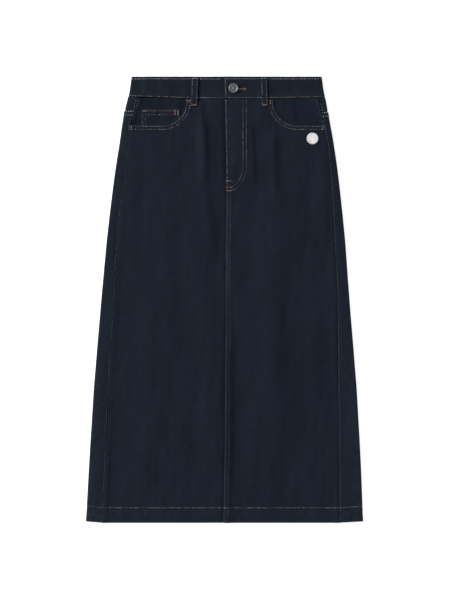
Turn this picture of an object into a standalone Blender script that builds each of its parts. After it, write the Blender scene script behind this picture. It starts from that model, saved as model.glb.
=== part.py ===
"""A long A-line denim skirt, laid flat on its back panel with the front facing up.

X runs across the skirt and +Y towards the waist. +Z is up, away from the surface that it lies on.
Lengths along the skirt are given as a drop below the highest point of the waistband.
"""

import math

import bmesh
import bpy

MM = 0.001

# Driving dimensions
LENGTH = 804 * MM
CLOTH = 1.2 * MM
HEM_CLOTH = 2.4 * MM
HEM_HEIGHT = 28 * MM
HEM_STEP = 0.6 * MM

# Cells of a panel's grid: rows below and above the yoke's level, and columns of each stretch.
SIDE_ROWS = 17
YOKE_ROWS = 3
ROWS_CLOSE_UP = 0.85
FRONT_COLUMNS = 13
BACK_PANEL_COLUMNS = (7, 8, 3)
BACK_YOKE_COLUMNS = (13, 8, 3)
WAISTBAND_CLOTH = 2.4 * MM
LOOP_CLOTH = 1.8 * MM
BACK_LOOP_CLOTH = 1.2 * MM
SEAM_GAP = 0.3 * MM
LAYER_GAP = 0.4 * MM
WAISTBAND_PROUD = 0.8 * MM
EDGE_REACH = 45 * MM

# The flat outline, one row for each level down the skirt: where its two side folds lie, how far the
# side seams sit inside them on the front, and how thick the rolled side fold is.
OUTLINE_COLUMNS = ("drop", "left", "right", "seam_in_left", "seam_in_right", "fold")
OUTLINE_ROWS = (
    (0, -168.5, 175.5, 19, 13.5, 8.6),
    (37, -173.7, 181.3, 18.9, 13.5, 8.4),
    (65, -180.6, 186.6, 18, 12.6, 8.0),
    (89, -184.8, 191.3, 15.5, 12.6, 7.6),
    (122, -189.6, 197.1, 15.3, 11, 7.2),
    (186, -199.3, 206.0, 17.5, 14.2, 6.8),
    (294, -211.9, 217.1, 19.4, 18.9, 6.4),
    (402, -222.3, 225.5, 24, 22, 6.2),
    (546, -234.0, 236.7, 26, 32, 6.2),
    (690, -243.6, 245.4, 29, 39, 6.4),
    (804, -250.0, 250.0, 30.4, 42.8, 7.0),
)

# How high the front's outer face lies above the surface: over plain cloth, and over the fly.
LEVEL_COLUMNS = ("drop", "plain", "fly")
LEVEL_ROWS = (
    (0, 7.2, 9.6),
    (40, 7.5, 9.2),
    (72, 7.4, 8.4),
    (95, 6.9, 7.8),
    (150, 5.6, 7.0),
    (205, 4.6, 6.6),
    (290, 4.1, 4.3),
    (400, 3.9, 3.9),
    (735, 3.9, 3.9),
    (772, 5.4, 5.4),
    (804, 5.8, 5.8),
)

# The largest soft folds of the front. Each runs from a top point to a bottom point and stands up by
# its height, or sinks where that is negative; reach is half its width.
FOLD_COLUMNS = ("x_top", "drop_top", "x_bottom", "drop_bottom", "height", "reach")
FOLD_ROWS = (
    (-62, 150, -40, 520, 1.7, 34),
    (-36, 95, -12, 300, -0.9, 22),
    (76, 120, 88, 760, 1.6, 30),
    (104, 130, 118, 700, -0.9, 24),
    (-118, 300, -128, 760, 1.3, 40),
    (160, 330, 176, 740, 1.0, 28),
)

# The centre front line, as (drop, x): the fly's edge, then the centre seam below it.
CENTRE_COLUMNS = ("drop", "x")
CENTRE_ROWS = ((0, -0.6), (40, 0.6), (190, 3.2), (300, 2.2), (804, -1.6))

# Waist seam and waistband edges, as drops.
WAIST_SEAM_CENTRE = 40 * MM
WAIST_SEAM_RISE_LEFT = 4 * MM
WAIST_SEAM_RISE_RIGHT = 2 * MM
FRONT_TOP = 1.6 * MM
FRONT_TOP_RISE = 0.7 * MM
BACK_HEM_LIFT = 2.5 * MM
HEM_LEVELS_OUT = 0.8

# Fly
UNDERLAP_X = 44 * MM
UNDERLAP_STEP = WAISTBAND_CLOTH + LAYER_GAP
UNDERLAP_STEP_X = -6 * MM
UNDERLAP_REACH = 45 * MM
FLY_MIDDLE = 18 * MM
FLY_FLAT = 24 * MM
FLY_REACH = 46 * MM
FLY_STEP = 1.0 * MM
SEAM_STEP = 0.5 * MM
FLY_STEP_REACH = 40 * MM
FLY_END = 205 * MM
ZIP_COLUMNS = ("name", "near", "far", "depth", "thickness", "top", "bottom")
ZIP_ROWS = (
    ("zip_tape_right", -9, 3.6, 3.0, 1.0, 42, 188),
    ("zip_tape_left", 10.4, 23, 3.0, 1.0, 42, 188),
    ("zip_chain", 4, 10, 2.8, 1.5, 53, 185),
)
ZIP_MIDDLE = 7 * MM
SLIDER_WIDTH = 5.8 * MM
SLIDER_HEIGHT = 2.9 * MM
TAB_WIDTH = 4.4 * MM
TAB_LENGTH = 20 * MM
TAB_HEIGHT = 0.8 * MM
TAB_OVERLAP = 3 * MM
UNDER_FLY_GAP = 0.5 * MM

# How many cells the waistband has in each part of its way round, from the buttonhole end.
BAND_PARTS = {
    "front_left": 12,
    "turn_left": 8,
    "back": 16,
    "turn_right": 8,
    "front_right": 12,
    "underlap": 5,
}

# Front pockets. A mouth is the corner of a rectangle with one rounded corner.
MOUTH_LEFT_X = -69 * MM
MOUTH_RIGHT_X = 88 * MM
MOUTH_DROP = 88.5 * MM
MOUTH_RADIUS = 43 * MM
FACING_UNDER = 20 * MM
FACING_LEDGE = 4 * MM
FACING_SLOPE = 14 * MM
FACING_SHALLOW = 0.34
COIN_LEFT_X = -149 * MM
COIN_RIGHT_X = -80 * MM
COIN_TOP = 59.5 * MM
COIN_BOTTOM = 102.5 * MM
COIN_MARGIN = 2 * MM
COIN_FADE = 12 * MM

# Back yoke
YOKE_SIDE_RIGHT = 61.5 * MM
YOKE_SIDE_LEFT = 63.9 * MM
YOKE_CENTRE = 98 * MM
CENTRE_BACK_X = 1.5 * MM

# Belt loops: middle at the waistband's top, and at the loop's lower end.
LOOP_WIDTH = 12.6 * MM
LOOP_TOP = 1.0 * MM
LOOP_END = 53 * MM
LOOP_STAND = 1.1 * MM
LOOP_COLUMNS = ("name", "x_top", "x_end")
FRONT_LOOPS = (("front_right", -53.0, -55.0), ("front_left", 70.6, 72.6))
BACK_LOOPS = (("back_right", -92.0, -92.0), ("back_centre", 3.6, 3.6), ("back_left", 99.0, 99.0))
LOOP_LIFT = BACK_LOOP_CLOTH + LAYER_GAP
LIFT_FLAT = 11 * MM
LIFT_REACH = 42 * MM
LIFT_END = 54 * MM
LIFT_FADE = 44 * MM

# Button, as a turned profile: (height above the waistband's face, radius)
BUTTON_X = 16 * MM
BUTTON_DROP = 21.5 * MM
BUTTON_COLUMNS = ("height", "radius")
BUTTON_ROWS = (
    (4.1, 0.0),
    (4.1, 2.4),
    (3.7, 3.0),
    (3.7, 6.2),
    (4.3, 6.9),
    (4.5, 7.7),
    (4.1, 8.7),
    (3.2, 9.2),
    (2.2, 9.0),
    (1.6, 8.0),
    (1.4, 2.6),
    (-2.5, 2.6),
    (-2.6, 1.2),
    (-5.4, 1.2),
    (-5.4, 0.0),
)
KEYHOLE_RADIUS = 3.1 * MM
KEYHOLE_SLOT = 1.4 * MM
KEYHOLE_END = 38.5 * MM
NAIL_HOLE_RADIUS = 1.6 * MM

BADGE_X = 158.4 * MM
BADGE_DROP = 112 * MM
BADGE_RADIUS = 10.4 * MM
BADGE_CLOTH = 1.0 * MM


def table(columns, rows):
    """The rows as dictionaries, with their lengths turned from millimetres to metres."""
    return [
        {name: value if isinstance(value, str) else value * MM for name, value in zip(columns, row)}
        for row in rows
    ]


OUTLINE = table(OUTLINE_COLUMNS, OUTLINE_ROWS)
LEVELS = table(LEVEL_COLUMNS, LEVEL_ROWS)
FOLDS = table(FOLD_COLUMNS, FOLD_ROWS)
CENTRE = table(CENTRE_COLUMNS, CENTRE_ROWS)


def mix(a, b, share):
    return a + (b - a) * share


def smooth(share):
    """0 up to share 0, 1 from share 1, and a soft step between."""
    share = min(1.0, max(0.0, share))
    return share * share * (3 - 2 * share)


def read(rows, column, drop):
    """A table's value at a drop, on a smooth curve through its rows."""
    last = len(rows) - 1
    if drop <= rows[0]["drop"]:
        return rows[0][column]
    if drop >= rows[last]["drop"]:
        return rows[last][column]
    low = max(i for i in range(last) if rows[i]["drop"] <= drop)

    def slope(i):
        before, after = rows[max(0, i - 1)], rows[min(last, i + 1)]
        return (after[column] - before[column]) / (after["drop"] - before["drop"])

    a, b = rows[low], rows[low + 1]
    span = b["drop"] - a["drop"]
    t = (drop - a["drop"]) / span
    return (
        a[column] * (2 * t**3 - 3 * t**2 + 1)
        + slope(low) * span * (t**3 - 2 * t**2 + t)
        + b[column] * (3 * t**2 - 2 * t**3)
        + slope(low + 1) * span * (t**3 - t**2)
    )


def centre_x(drop):
    return read(CENTRE, "x", drop)


def fold_radius(drop):
    return read(OUTLINE, "fold", drop) / 2


def fold_line(side, drop):
    """X of the middle of the rolled side fold; side is -1 on the left and 1 on the right."""
    edge = read(OUTLINE, "left" if side < 0 else "right", drop)
    return edge - side * fold_radius(drop)


def side_seam(side, drop):
    if side < 0:
        return read(OUTLINE, "left", drop) + read(OUTLINE, "seam_in_left", drop)
    return read(OUTLINE, "right", drop) - read(OUTLINE, "seam_in_right", drop)


def yoke_side(side):
    """Drop of the yoke's lower seam where it goes round the side."""
    return YOKE_SIDE_RIGHT if side < 0 else YOKE_SIDE_LEFT


def waist_seam(x):
    """Drop of the seam under the waistband, which rises towards the sides."""
    if x < 0:
        return WAIST_SEAM_CENTRE - WAIST_SEAM_RISE_LEFT * (x / fold_line(-1, WAIST_SEAM_CENTRE)) ** 2
    return WAIST_SEAM_CENTRE - WAIST_SEAM_RISE_RIGHT * (x / fold_line(1, WAIST_SEAM_CENTRE)) ** 2


def fold_relief(x, drop):
    """What the soft folds add at a point of the front."""
    relief = 0.0
    for fold in FOLDS:
        along = (drop - fold["drop_top"]) / (fold["drop_bottom"] - fold["drop_top"])
        if 0 < along < 1:
            off = abs(x - mix(fold["x_top"], fold["x_bottom"], along)) / fold["reach"]
            ends = math.sin(math.pi * along)
            relief += fold["height"] * ends * (1 - smooth(off))
    return relief


def front_face(x, drop):
    """Height of the front panels' outer face."""
    from_fold = min(x - fold_line(-1, drop), fold_line(1, drop) - x)
    at_edge = 1 - smooth(from_fold / EDGE_REACH)
    over_fly = 1 - smooth((abs(x - FLY_MIDDLE) - FLY_FLAT) / FLY_REACH)
    level = mix(read(LEVELS, "plain", drop), read(LEVELS, "fly", drop), over_fly)
    level += fold_relief(x, drop)
    return mix(level, 2 * fold_radius(drop), at_edge)


def lower_front_face(x, drop):
    """The same on the side that goes under at the centre front, a step lower beside the fly."""
    off = (centre_x(drop) - x) / FLY_STEP_REACH
    below_fly = smooth((drop - FLY_END) / (FLY_END / 2))
    return front_face(x, drop) - mix(FLY_STEP, SEAM_STEP, below_fly) * (1 - smooth(off))


def back_lift(x, drop):
    """How far the belt loops hold the back off the surface."""
    lift = 0.0
    for loop in table(LOOP_COLUMNS, BACK_LOOPS):
        off = (abs(x - loop["x_top"]) - LIFT_FLAT) / LIFT_REACH
        lift = max(lift, 1 - smooth(off))
    return LOOP_LIFT * lift * (1 - smooth((drop - LIFT_END) / LIFT_FADE))


def inside_mouth(side, x, drop):
    """Distance inside the edge of a pocket mouth, negative under the front panel."""
    inner = MOUTH_LEFT_X if side < 0 else MOUTH_RIGHT_X
    across = side * (inner - x) + MOUTH_RADIUS
    down = drop - MOUTH_DROP + MOUTH_RADIUS
    outside = math.hypot(max(across, 0), max(down, 0))
    return MOUTH_RADIUS - outside - min(max(across, down), 0)


def facing_depth(side, x, drop):
    """How far the pocket facing lies below the front's outer face."""
    deepest = CLOTH + LAYER_GAP
    if side < 0:
        beside_coin = smooth((x - COIN_RIGHT_X - COIN_MARGIN) / COIN_FADE)
        above_coin = smooth((COIN_TOP - COIN_MARGIN - drop) / COIN_FADE)
        deepest += (CLOTH + LAYER_GAP) * (1 - max(beside_coin, above_coin))
    near = 1 - smooth((inside_mouth(side, x, drop) - FACING_LEDGE) / FACING_SLOPE)
    return deepest * mix(FACING_SHALLOW, 1, near)


def clear_scene():
    for obj in list(bpy.data.objects):
        bpy.data.objects.remove(obj)


def make_collection(name):
    collection = bpy.data.collections.new(name)
    bpy.context.scene.collection.children.link(collection)
    return collection


def make_material(name, color, roughness, metallic=0.0):
    material = bpy.data.materials.new(name)
    material.use_nodes = True
    shader = material.node_tree.nodes["Principled BSDF"]
    shader.inputs["Base Color"].default_value = (*color, 1.0)
    shader.inputs["Roughness"].default_value = roughness
    shader.inputs["Metallic"].default_value = metallic
    material.diffuse_color = (*color, 1.0)
    return material


clear_scene()
SKIRT = make_collection("denim_skirt")
CUTTERS = make_collection("cutters")
DENIM = make_material("denim", (0.012, 0.016, 0.026), 0.85)
BUTTON_METAL = make_material("button_metal", (0.30, 0.31, 0.33), 0.35, 1.0)
ZIP_METAL = make_material("zip_metal", (0.45, 0.33, 0.16), 0.4, 1.0)
ZIP_TAPE = make_material("zip_tape", (0.015, 0.018, 0.028), 0.9)
PATCH = make_material("white_patch", (0.80, 0.80, 0.80), 0.8)

ORIGIN = bpy.data.objects.new("skirt_origin", None)
SKIRT.objects.link(ORIGIN)


def add_object(name, mesh, material, collection=SKIRT):
    obj = bpy.data.objects.new(name, mesh)
    collection.objects.link(obj)
    obj.parent = ORIGIN
    mesh.materials.append(material)
    return obj


def add_wall(obj, thickness):
    """Gives an outer face its cloth, inwards."""
    wall = obj.modifiers.new("cloth", "SOLIDIFY")
    wall.thickness = thickness
    wall.offset = -1


def cloth_piece(name, columns, rows, place, thickness, material=DENIM):
    """A sheet of columns by rows cells. place(column, row) gives a point as (x, drop, height).

    Returns the object, and the row of each corner of its sheet."""
    sheet = bmesh.new()
    bmesh.ops.create_grid(sheet, x_segments=columns, y_segments=rows, size=1)
    corner_rows = []
    for corner in sheet.verts:
        column = round((corner.co.x + 1) / 2 * columns)
        row = round((corner.co.y + 1) / 2 * rows)
        corner_rows.append(row)
        x, drop, height = place(column, row)
        corner.co = (x, LENGTH / 2 - drop, height)
    mesh = bpy.data.meshes.new(name)
    sheet.to_mesh(mesh)
    sheet.free()
    mesh.shade_smooth()
    obj = add_object(name, mesh, material)
    add_wall(obj, thickness)
    return obj, corner_rows


def thicken_hem(obj, corner_rows):
    """Turns the rows of the hem into its folded cloth, twice as thick as the rest."""
    group = obj.vertex_groups.new(name="hem")
    for index, row in enumerate(corner_rows):
        group.add([index], 1.0 if row <= 1 else CLOTH / HEM_CLOTH, "REPLACE")
    wall = obj.modifiers["cloth"]
    wall.thickness = HEM_CLOTH
    wall.vertex_group = group.name


def panel_drop(row, top, bottom):
    """Drop of a row below the yoke's level. Three rows bound the hem's fold, and the others close up
    towards the waist. Front and back share these rows, so that their side seams keep their gap."""
    hem_top = bottom - HEM_HEIGHT
    hem = (bottom, hem_top + HEM_STEP / 2, hem_top - HEM_STEP / 2)
    if row < len(hem):
        return hem[row]
    share = (row - 2) / (SIDE_ROWS - 2)
    return mix(hem[2], top, share**ROWS_CLOSE_UP)


def cut(obj, cutter, name):
    boolean = obj.modifiers.new(name, "BOOLEAN")
    boolean.operation = "DIFFERENCE"
    boolean.object = cutter


def hide_cutter(obj):
    obj.hide_render = True
    obj.display_type = "WIRE"


def mouth_cutter(name, side):
    """The prism of a pocket mouth: a block with one upright edge rounded."""
    inner = MOUTH_LEFT_X if side < 0 else MOUTH_RIGHT_X
    outer = side * 260 * MM
    top = LENGTH / 2 + 10 * MM
    bottom = LENGTH / 2 - MOUTH_DROP
    block = bmesh.new()
    bmesh.ops.create_cube(block, size=1)
    for corner in block.verts:
        corner.co.x = mix(min(inner, outer), max(inner, outer), corner.co.x + 0.5)
        corner.co.y = mix(bottom, top, corner.co.y + 0.5)
        corner.co.z = mix(-20 * MM, 30 * MM, corner.co.z + 0.5)
    rounded = [
        edge
        for edge in block.edges
        if all(abs(v.co.x - inner) < MM and abs(v.co.y - bottom) < MM for v in edge.verts)
    ]
    bmesh.ops.bevel(
        block, geom=rounded, offset=MOUTH_RADIUS, segments=9, profile=0.5, affect="EDGES"
    )
    mesh = bpy.data.meshes.new(name)
    block.to_mesh(mesh)
    block.free()
    cutter = add_object(name, mesh, DENIM, CUTTERS)
    hide_cutter(cutter)
    return cutter


def front_panel(name, side):
    """One front panel, from the centre front to its side seam, with its pocket mouth cut out."""
    rows = SIDE_ROWS + YOKE_ROWS
    face = lower_front_face if side < 0 else front_face

    def across(share, drop):
        if side > 0:
            return mix(centre_x(drop), side_seam(side, drop) - SEAM_GAP / 2, share)
        return mix(side_seam(side, drop) + SEAM_GAP / 2, centre_x(drop) - SEAM_GAP, share)

    def place(column, row):
        share = column / FRONT_COLUMNS
        yoke_level = yoke_side(side) + SEAM_GAP
        if row <= SIDE_ROWS:
            drop = panel_drop(row, yoke_level, LENGTH)
        else:
            top = waist_seam(across(share, WAIST_SEAM_CENTRE)) + LAYER_GAP
            drop = mix(yoke_level, top, (row - SIDE_ROWS) / YOKE_ROWS)
        x = across(share, drop)
        return x, drop, face(x, drop)

    panel, corner_rows = cloth_piece(name, FRONT_COLUMNS, rows, place, CLOTH)
    thicken_hem(panel, corner_rows)
    cut(panel, mouth_cutter(name + "_mouth", side), "pocket_mouth")


def wrap_point(side, column, counts, drop):
    """A point of the cloth that turns from the back round the side fold to the front's side seam.

    counts is how many columns lie on the back, in the turn and on the front, counted from the back.
    Returns x, height, and how far along the back, turn and front the column is, each from 0 to 1."""
    on_back, in_turn, on_front = counts
    turn_x = fold_line(side, drop)
    radius = fold_radius(drop)
    if column <= on_back:
        share = column / on_back
        x = mix(CENTRE_BACK_X + side * SEAM_GAP / 2, turn_x, share)
        return x, back_lift(x, drop), (share, 0.0, 0.0)
    if column <= on_back + in_turn:
        share = (column - on_back) / in_turn
        angle = math.pi * share
        return (
            turn_x + side * radius * math.sin(angle),
            radius * (1 - math.cos(angle)),
            (1.0, share, 0.0),
        )
    share = (column - on_back - in_turn) / on_front
    x = mix(turn_x, side_seam(side, drop) + side * SEAM_GAP / 2, share)
    return x, front_face(x, drop), (1.0, 1.0, share)


def yoke_seam(side, along_back):
    """Drop of the yoke's lower seam: level round the side, and down to a point at the centre back."""
    return mix(YOKE_CENTRE, yoke_side(side), along_back)


def wrapped_piece(name, side, counts, rows, drop_at):
    """A back piece. drop_at(row, x, shares) gives the drop of a row where it crosses a column.

    That drop and x depend on each other, so they are worked out in a few rounds."""
    columns = sum(counts)

    def place(column, row):
        walked = column if side < 0 else columns - column
        x, height, shares = wrap_point(side, walked, counts, LENGTH / 4)
        for round_number in range(3):
            drop = drop_at(row, x, shares)
            x, height, shares = wrap_point(side, walked, counts, drop)
        return x, drop, height

    return cloth_piece(name, columns, rows, place, CLOTH)


def back_panel(name, side):
    def drop_at(row, x, shares):
        along_back, turned, along_front = shares
        bottom = LENGTH - BACK_HEM_LIFT * (1 - HEM_LEVELS_OUT * along_front)
        return panel_drop(row, yoke_seam(side, along_back) + SEAM_GAP, bottom)

    panel, corner_rows = wrapped_piece(name, side, BACK_PANEL_COLUMNS, SIDE_ROWS, drop_at)
    thicken_hem(panel, corner_rows)


def back_yoke(name, side):
    def drop_at(row, x, shares):
        return mix(yoke_seam(side, shares[0]), waist_seam(x) + LAYER_GAP, row / YOKE_ROWS)

    wrapped_piece(name, side, BACK_YOKE_COLUMNS, YOKE_ROWS, drop_at)


def pocket_facing(name, side):
    """The denim seen through a pocket mouth, reaching some way under the front panel."""
    columns, rows = 13, 9
    inner = (MOUTH_LEFT_X if side < 0 else MOUTH_RIGHT_X) - side * FACING_UNDER

    face = front_face if side > 0 else lower_front_face

    def across(share, drop):
        seam = side_seam(side, drop) - side * SEAM_GAP
        return mix(inner, seam, share) if side > 0 else mix(seam, inner, share)

    def place(column, row):
        share = column / columns
        top = waist_seam(across(share, WAIST_SEAM_CENTRE)) + LAYER_GAP
        drop = mix(MOUTH_DROP + FACING_UNDER, top, row / rows)
        x = across(share, drop)
        return x, drop, face(x, drop) - facing_depth(side, x, drop)

    cloth_piece(name, columns, rows, place, CLOTH)


def coin_pocket():
    """The small patch pocket on the right facing. Its lower part goes under the front panel."""
    columns, rows = 8, 6

    def place(column, row):
        x = mix(COIN_LEFT_X, COIN_RIGHT_X, column / columns)
        drop = mix(COIN_BOTTOM, COIN_TOP, row / rows)
        above = CLOTH + LAYER_GAP
        return x, drop, lower_front_face(x, drop) - facing_depth(-1, x, drop) + above

    cloth_piece("coin_pocket", columns, rows, place, CLOTH)


def band_top(x, on_front):
    """Drop of the waistband's upper edge. The back stands a little above the front."""
    return on_front * (FRONT_TOP - FRONT_TOP_RISE * smooth((x - 20 * MM) / (40 * MM)))


def band_face(x, drop):
    return front_face(x, drop) + WAISTBAND_PROUD


def band_under_face(x, drop):
    """The same for the end that goes under, which dips at the centre front."""
    off = (UNDERLAP_STEP_X - x) / UNDERLAP_REACH
    return band_face(x, drop) - UNDERLAP_STEP * (1 - smooth(off))


def band_point(part, share, drop):
    """(x, height, on the front) of a point of the waistband, at a share along one of its six parts."""
    radius = fold_radius(drop) + WAISTBAND_PROUD / 2
    left = fold_line(-1, drop) + WAISTBAND_PROUD / 2
    right = fold_line(1, drop) - WAISTBAND_PROUD / 2
    if part == "front_left":
        x = mix(centre_x(drop), right, share)
        return x, band_face(x, drop), 1.0
    if part == "turn_left":
        angle = math.pi * share
        return right + radius * math.sin(angle), radius * (1 + math.cos(angle)), 1 - smooth(share)
    if part == "back":
        x = mix(right, left, share)
        return x, back_lift(x, drop), 0.0
    if part == "turn_right":
        angle = math.pi * share
        return left - radius * math.sin(angle), radius * (1 - math.cos(angle)), smooth(share)
    if part == "front_right":
        x = mix(left, UNDERLAP_STEP_X, share)
        return x, band_under_face(x, drop), 1.0
    x = mix(UNDERLAP_STEP_X, UNDERLAP_X, share)
    return x, band_under_face(x, drop), 1.0


def waistband():
    """One folded strip all the way round, from the buttonhole end to the underlap."""
    columns, rows = sum(BAND_PARTS.values()), 3

    def place(column, row):
        for part, count in BAND_PARTS.items():
            if column <= count:
                break
            column -= count
        share = column / count
        x, height, on_front = band_point(part, share, WAIST_SEAM_CENTRE / 2)
        drop = mix(waist_seam(x), band_top(x, on_front), row / rows)
        x, height, on_front = band_point(part, share, drop)
        return x, drop, height

    band, _ = cloth_piece("waistband", columns, rows, place, WAISTBAND_CLOTH)
    face = band_face(BUTTON_X, BUTTON_DROP)
    between = face - WAISTBAND_CLOTH - LAYER_GAP / 2
    above = face + 10 * MM
    cut(band, round_cutter("buttonhole_eye", KEYHOLE_RADIUS, between, above), "buttonhole_eye")
    cut(band, slot_cutter("buttonhole_slot", between, above), "buttonhole_slot")
    below = face - 2 * WAISTBAND_CLOTH - 5 * LAYER_GAP
    cut(band, round_cutter("nail_hole", NAIL_HOLE_RADIUS, below, between), "nail_hole")


def round_cutter(name, radius, low, high):
    place = (BUTTON_X, LENGTH / 2 - BUTTON_DROP, (low + high) / 2)
    bpy.ops.mesh.primitive_cylinder_add(vertices=20, radius=radius, depth=high - low, location=place)
    return take_active(name, DENIM, CUTTERS)


def slot_cutter(name, low, high):
    place = ((BUTTON_X + KEYHOLE_END) / 2, LENGTH / 2 - BUTTON_DROP, (low + high) / 2)
    bpy.ops.mesh.primitive_cube_add(size=1, location=place)
    cutter = take_active(name, DENIM, CUTTERS)
    cutter.scale = (KEYHOLE_END - BUTTON_X, KEYHOLE_SLOT, high - low)
    return cutter


def take_active(name, material, collection):
    """Names the object that an operator just added, and files it."""
    obj = bpy.context.active_object
    obj.name = name
    obj.data.materials.append(material)
    for old in list(obj.users_collection):
        old.objects.unlink(obj)
    collection.objects.link(obj)
    if collection is CUTTERS:
        hide_cutter(obj)
    else:
        obj.parent = ORIGIN
    return obj


def front_belt_loop(loop):
    """A strip that bridges the waistband, held at both ends and standing off between them."""
    columns, rows = 2, 12

    def place(column, row):
        share = row / rows
        drop = mix(LOOP_END, LOOP_TOP, share)
        middle = mix(loop["x_end"], loop["x_top"], share)
        x = middle + (column / columns - 0.5) * LOOP_WIDTH
        on_band = 1 - smooth((drop - WAIST_SEAM_CENTRE) / (LOOP_END - WAIST_SEAM_CENTRE))
        under = front_face(middle, drop) + WAISTBAND_PROUD * on_band
        height = under + LAYER_GAP + LOOP_CLOTH + LOOP_STAND * math.sin(math.pi * share) ** 0.6
        return x, drop, height

    cloth_piece("belt_loop_" + loop["name"], columns, rows, place, LOOP_CLOTH)


def back_belt_loop(loop):
    columns, rows = 2, 3

    def place(column, row):
        x = loop["x_top"] + (0.5 - column / columns) * LOOP_WIDTH
        return x, mix(LOOP_END, LOOP_TOP, row / rows), 0.0

    cloth_piece("belt_loop_" + loop["name"], columns, rows, place, BACK_LOOP_CLOTH)


def zip_strip(strip, material):
    """A straight strip of the zip under the fly, measured from the centre front line."""
    columns, rows = 2, 10

    def place(column, row):
        drop = mix(strip["bottom"], strip["top"], row / rows)
        x = centre_x(drop) + mix(strip["near"], strip["far"], column / columns)
        return x, drop, front_face(x, drop) - strip["depth"]

    cloth_piece(strip["name"], columns, rows, place, strip["thickness"], material)


def fly_zip():
    """A closed zip under the fly: two tapes, the closed chain and the slider at its top."""
    right_tape, left_tape, chain = table(ZIP_COLUMNS, ZIP_ROWS)
    zip_strip(right_tape, ZIP_TAPE)
    zip_strip(left_tape, ZIP_TAPE)
    zip_strip(chain, ZIP_METAL)
    zip_slider(right_tape["top"], chain["top"])


def zip_slider(top, end):
    """The slider's body, with its tab lying down over the chain and joined to it."""
    body_size = (SLIDER_WIDTH, end - top - SEAM_GAP, SLIDER_HEIGHT)
    tab_size = (TAB_WIDTH, TAB_LENGTH, TAB_HEIGHT)
    body = zip_block("zip_slider", body_size, (top + end) / 2, SLIDER_HEIGHT / 5)
    tab = zip_block("zip_tab", tab_size, end + TAB_LENGTH / 2 - TAB_OVERLAP, TAB_HEIGHT / 3)
    join = body.modifiers.new("tab", "BOOLEAN")
    join.operation = "UNION"
    join.object = tab
    SKIRT.objects.unlink(tab)
    CUTTERS.objects.link(tab)
    hide_cutter(tab)


def zip_block(name, size, drop, bevel):
    """A block that lies along the zip, just under the fly's cloth."""
    x = centre_x(drop) + ZIP_MIDDLE
    upper = front_face(x, drop - size[1] / 2)
    lower = front_face(x, drop + size[1] / 2)
    height = (upper + lower) / 2 - CLOTH - UNDER_FLY_GAP - size[2] / 2
    tilt = math.atan((upper - lower) / size[1])
    return beveled_block(name, size, (x, LENGTH / 2 - drop, height), tilt, bevel)


def beveled_block(name, size, place, tilt, bevel):
    bpy.ops.mesh.primitive_cube_add(size=1, location=place, rotation=(tilt, 0, 0))
    block = take_active(name, ZIP_METAL, SKIRT)
    for corner in block.data.vertices:
        corner.co = [value * length for value, length in zip(corner.co, size)]
    edges = block.modifiers.new("soft_edges", "BEVEL")
    edges.width = bevel
    edges.segments = 2
    return block


def button():
    """Cap, shank and nail of a jeans button, turned about its own upright axis."""
    mesh = bpy.data.meshes.new("button")
    profile = bmesh.new()
    rows = table(BUTTON_COLUMNS, BUTTON_ROWS)
    corners = [profile.verts.new((row["radius"], 0, row["height"])) for row in rows]
    for a, b in zip(corners, corners[1:]):
        profile.edges.new((a, b))
    profile.to_mesh(mesh)
    profile.free()
    obj = add_object("button", mesh, BUTTON_METAL)
    obj.location = (BUTTON_X, LENGTH / 2 - BUTTON_DROP, band_face(BUTTON_X, BUTTON_DROP))
    turn = obj.modifiers.new("turn", "SCREW")
    turn.steps = 32
    turn.render_steps = 32
    turn.use_merge_vertices = True
    turn.merge_threshold = 0.00002


def badge():
    """A plain round patch that lies on the left front panel."""
    sides, rings = 28, 3
    disc = bmesh.new()
    bmesh.ops.create_circle(disc, cap_ends=True, cap_tris=True, segments=sides, radius=BADGE_RADIUS)
    spokes = [edge for edge in disc.edges if edge.is_manifold]
    bmesh.ops.subdivide_edges(disc, edges=spokes, cuts=rings - 1)
    for corner in disc.verts:
        x, drop = BADGE_X + corner.co.x, BADGE_DROP - corner.co.y
        corner.co = (x, LENGTH / 2 - drop, front_face(x, drop) + LAYER_GAP + BADGE_CLOTH)
    mesh = bpy.data.meshes.new("badge")
    disc.to_mesh(mesh)
    disc.free()
    add_wall(add_object("badge", mesh, PATCH), BADGE_CLOTH)


def build():
    for word, side in (("right", -1), ("left", 1)):
        front_panel("front_" + word, side)
        pocket_facing("pocket_facing_" + word, side)
        back_yoke("back_yoke_" + word, side)
        back_panel("back_" + word, side)
    coin_pocket()
    waistband()
    fly_zip()
    for loop in table(LOOP_COLUMNS, FRONT_LOOPS):
        front_belt_loop(loop)
    for loop in table(LOOP_COLUMNS, BACK_LOOPS):
        back_belt_loop(loop)
    button()
    badge()


build()
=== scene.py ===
import bpy, bmesh, math
import numpy as np
from mathutils import Matrix, Vector


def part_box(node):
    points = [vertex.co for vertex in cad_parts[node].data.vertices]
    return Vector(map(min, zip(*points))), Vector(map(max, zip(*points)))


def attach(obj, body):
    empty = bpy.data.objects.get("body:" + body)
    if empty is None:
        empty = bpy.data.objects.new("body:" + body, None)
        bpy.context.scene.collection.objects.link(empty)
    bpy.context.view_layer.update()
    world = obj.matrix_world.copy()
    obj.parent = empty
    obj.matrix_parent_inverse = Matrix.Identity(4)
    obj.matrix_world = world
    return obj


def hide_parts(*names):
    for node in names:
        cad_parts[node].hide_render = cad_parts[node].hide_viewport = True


# The skirt lies flat, front up. x runs across it and "drop" down it from the top of the waistband,
# so y is halfLength - drop. Tables are in millimetres, everything else in metres.
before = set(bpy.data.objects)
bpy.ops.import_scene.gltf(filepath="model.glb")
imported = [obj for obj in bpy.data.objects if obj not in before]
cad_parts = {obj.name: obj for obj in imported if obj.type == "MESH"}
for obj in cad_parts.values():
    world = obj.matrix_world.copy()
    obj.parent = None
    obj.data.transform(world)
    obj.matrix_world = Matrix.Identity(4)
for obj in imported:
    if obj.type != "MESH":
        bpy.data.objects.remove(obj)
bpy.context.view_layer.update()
mm = 0.001
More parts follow.
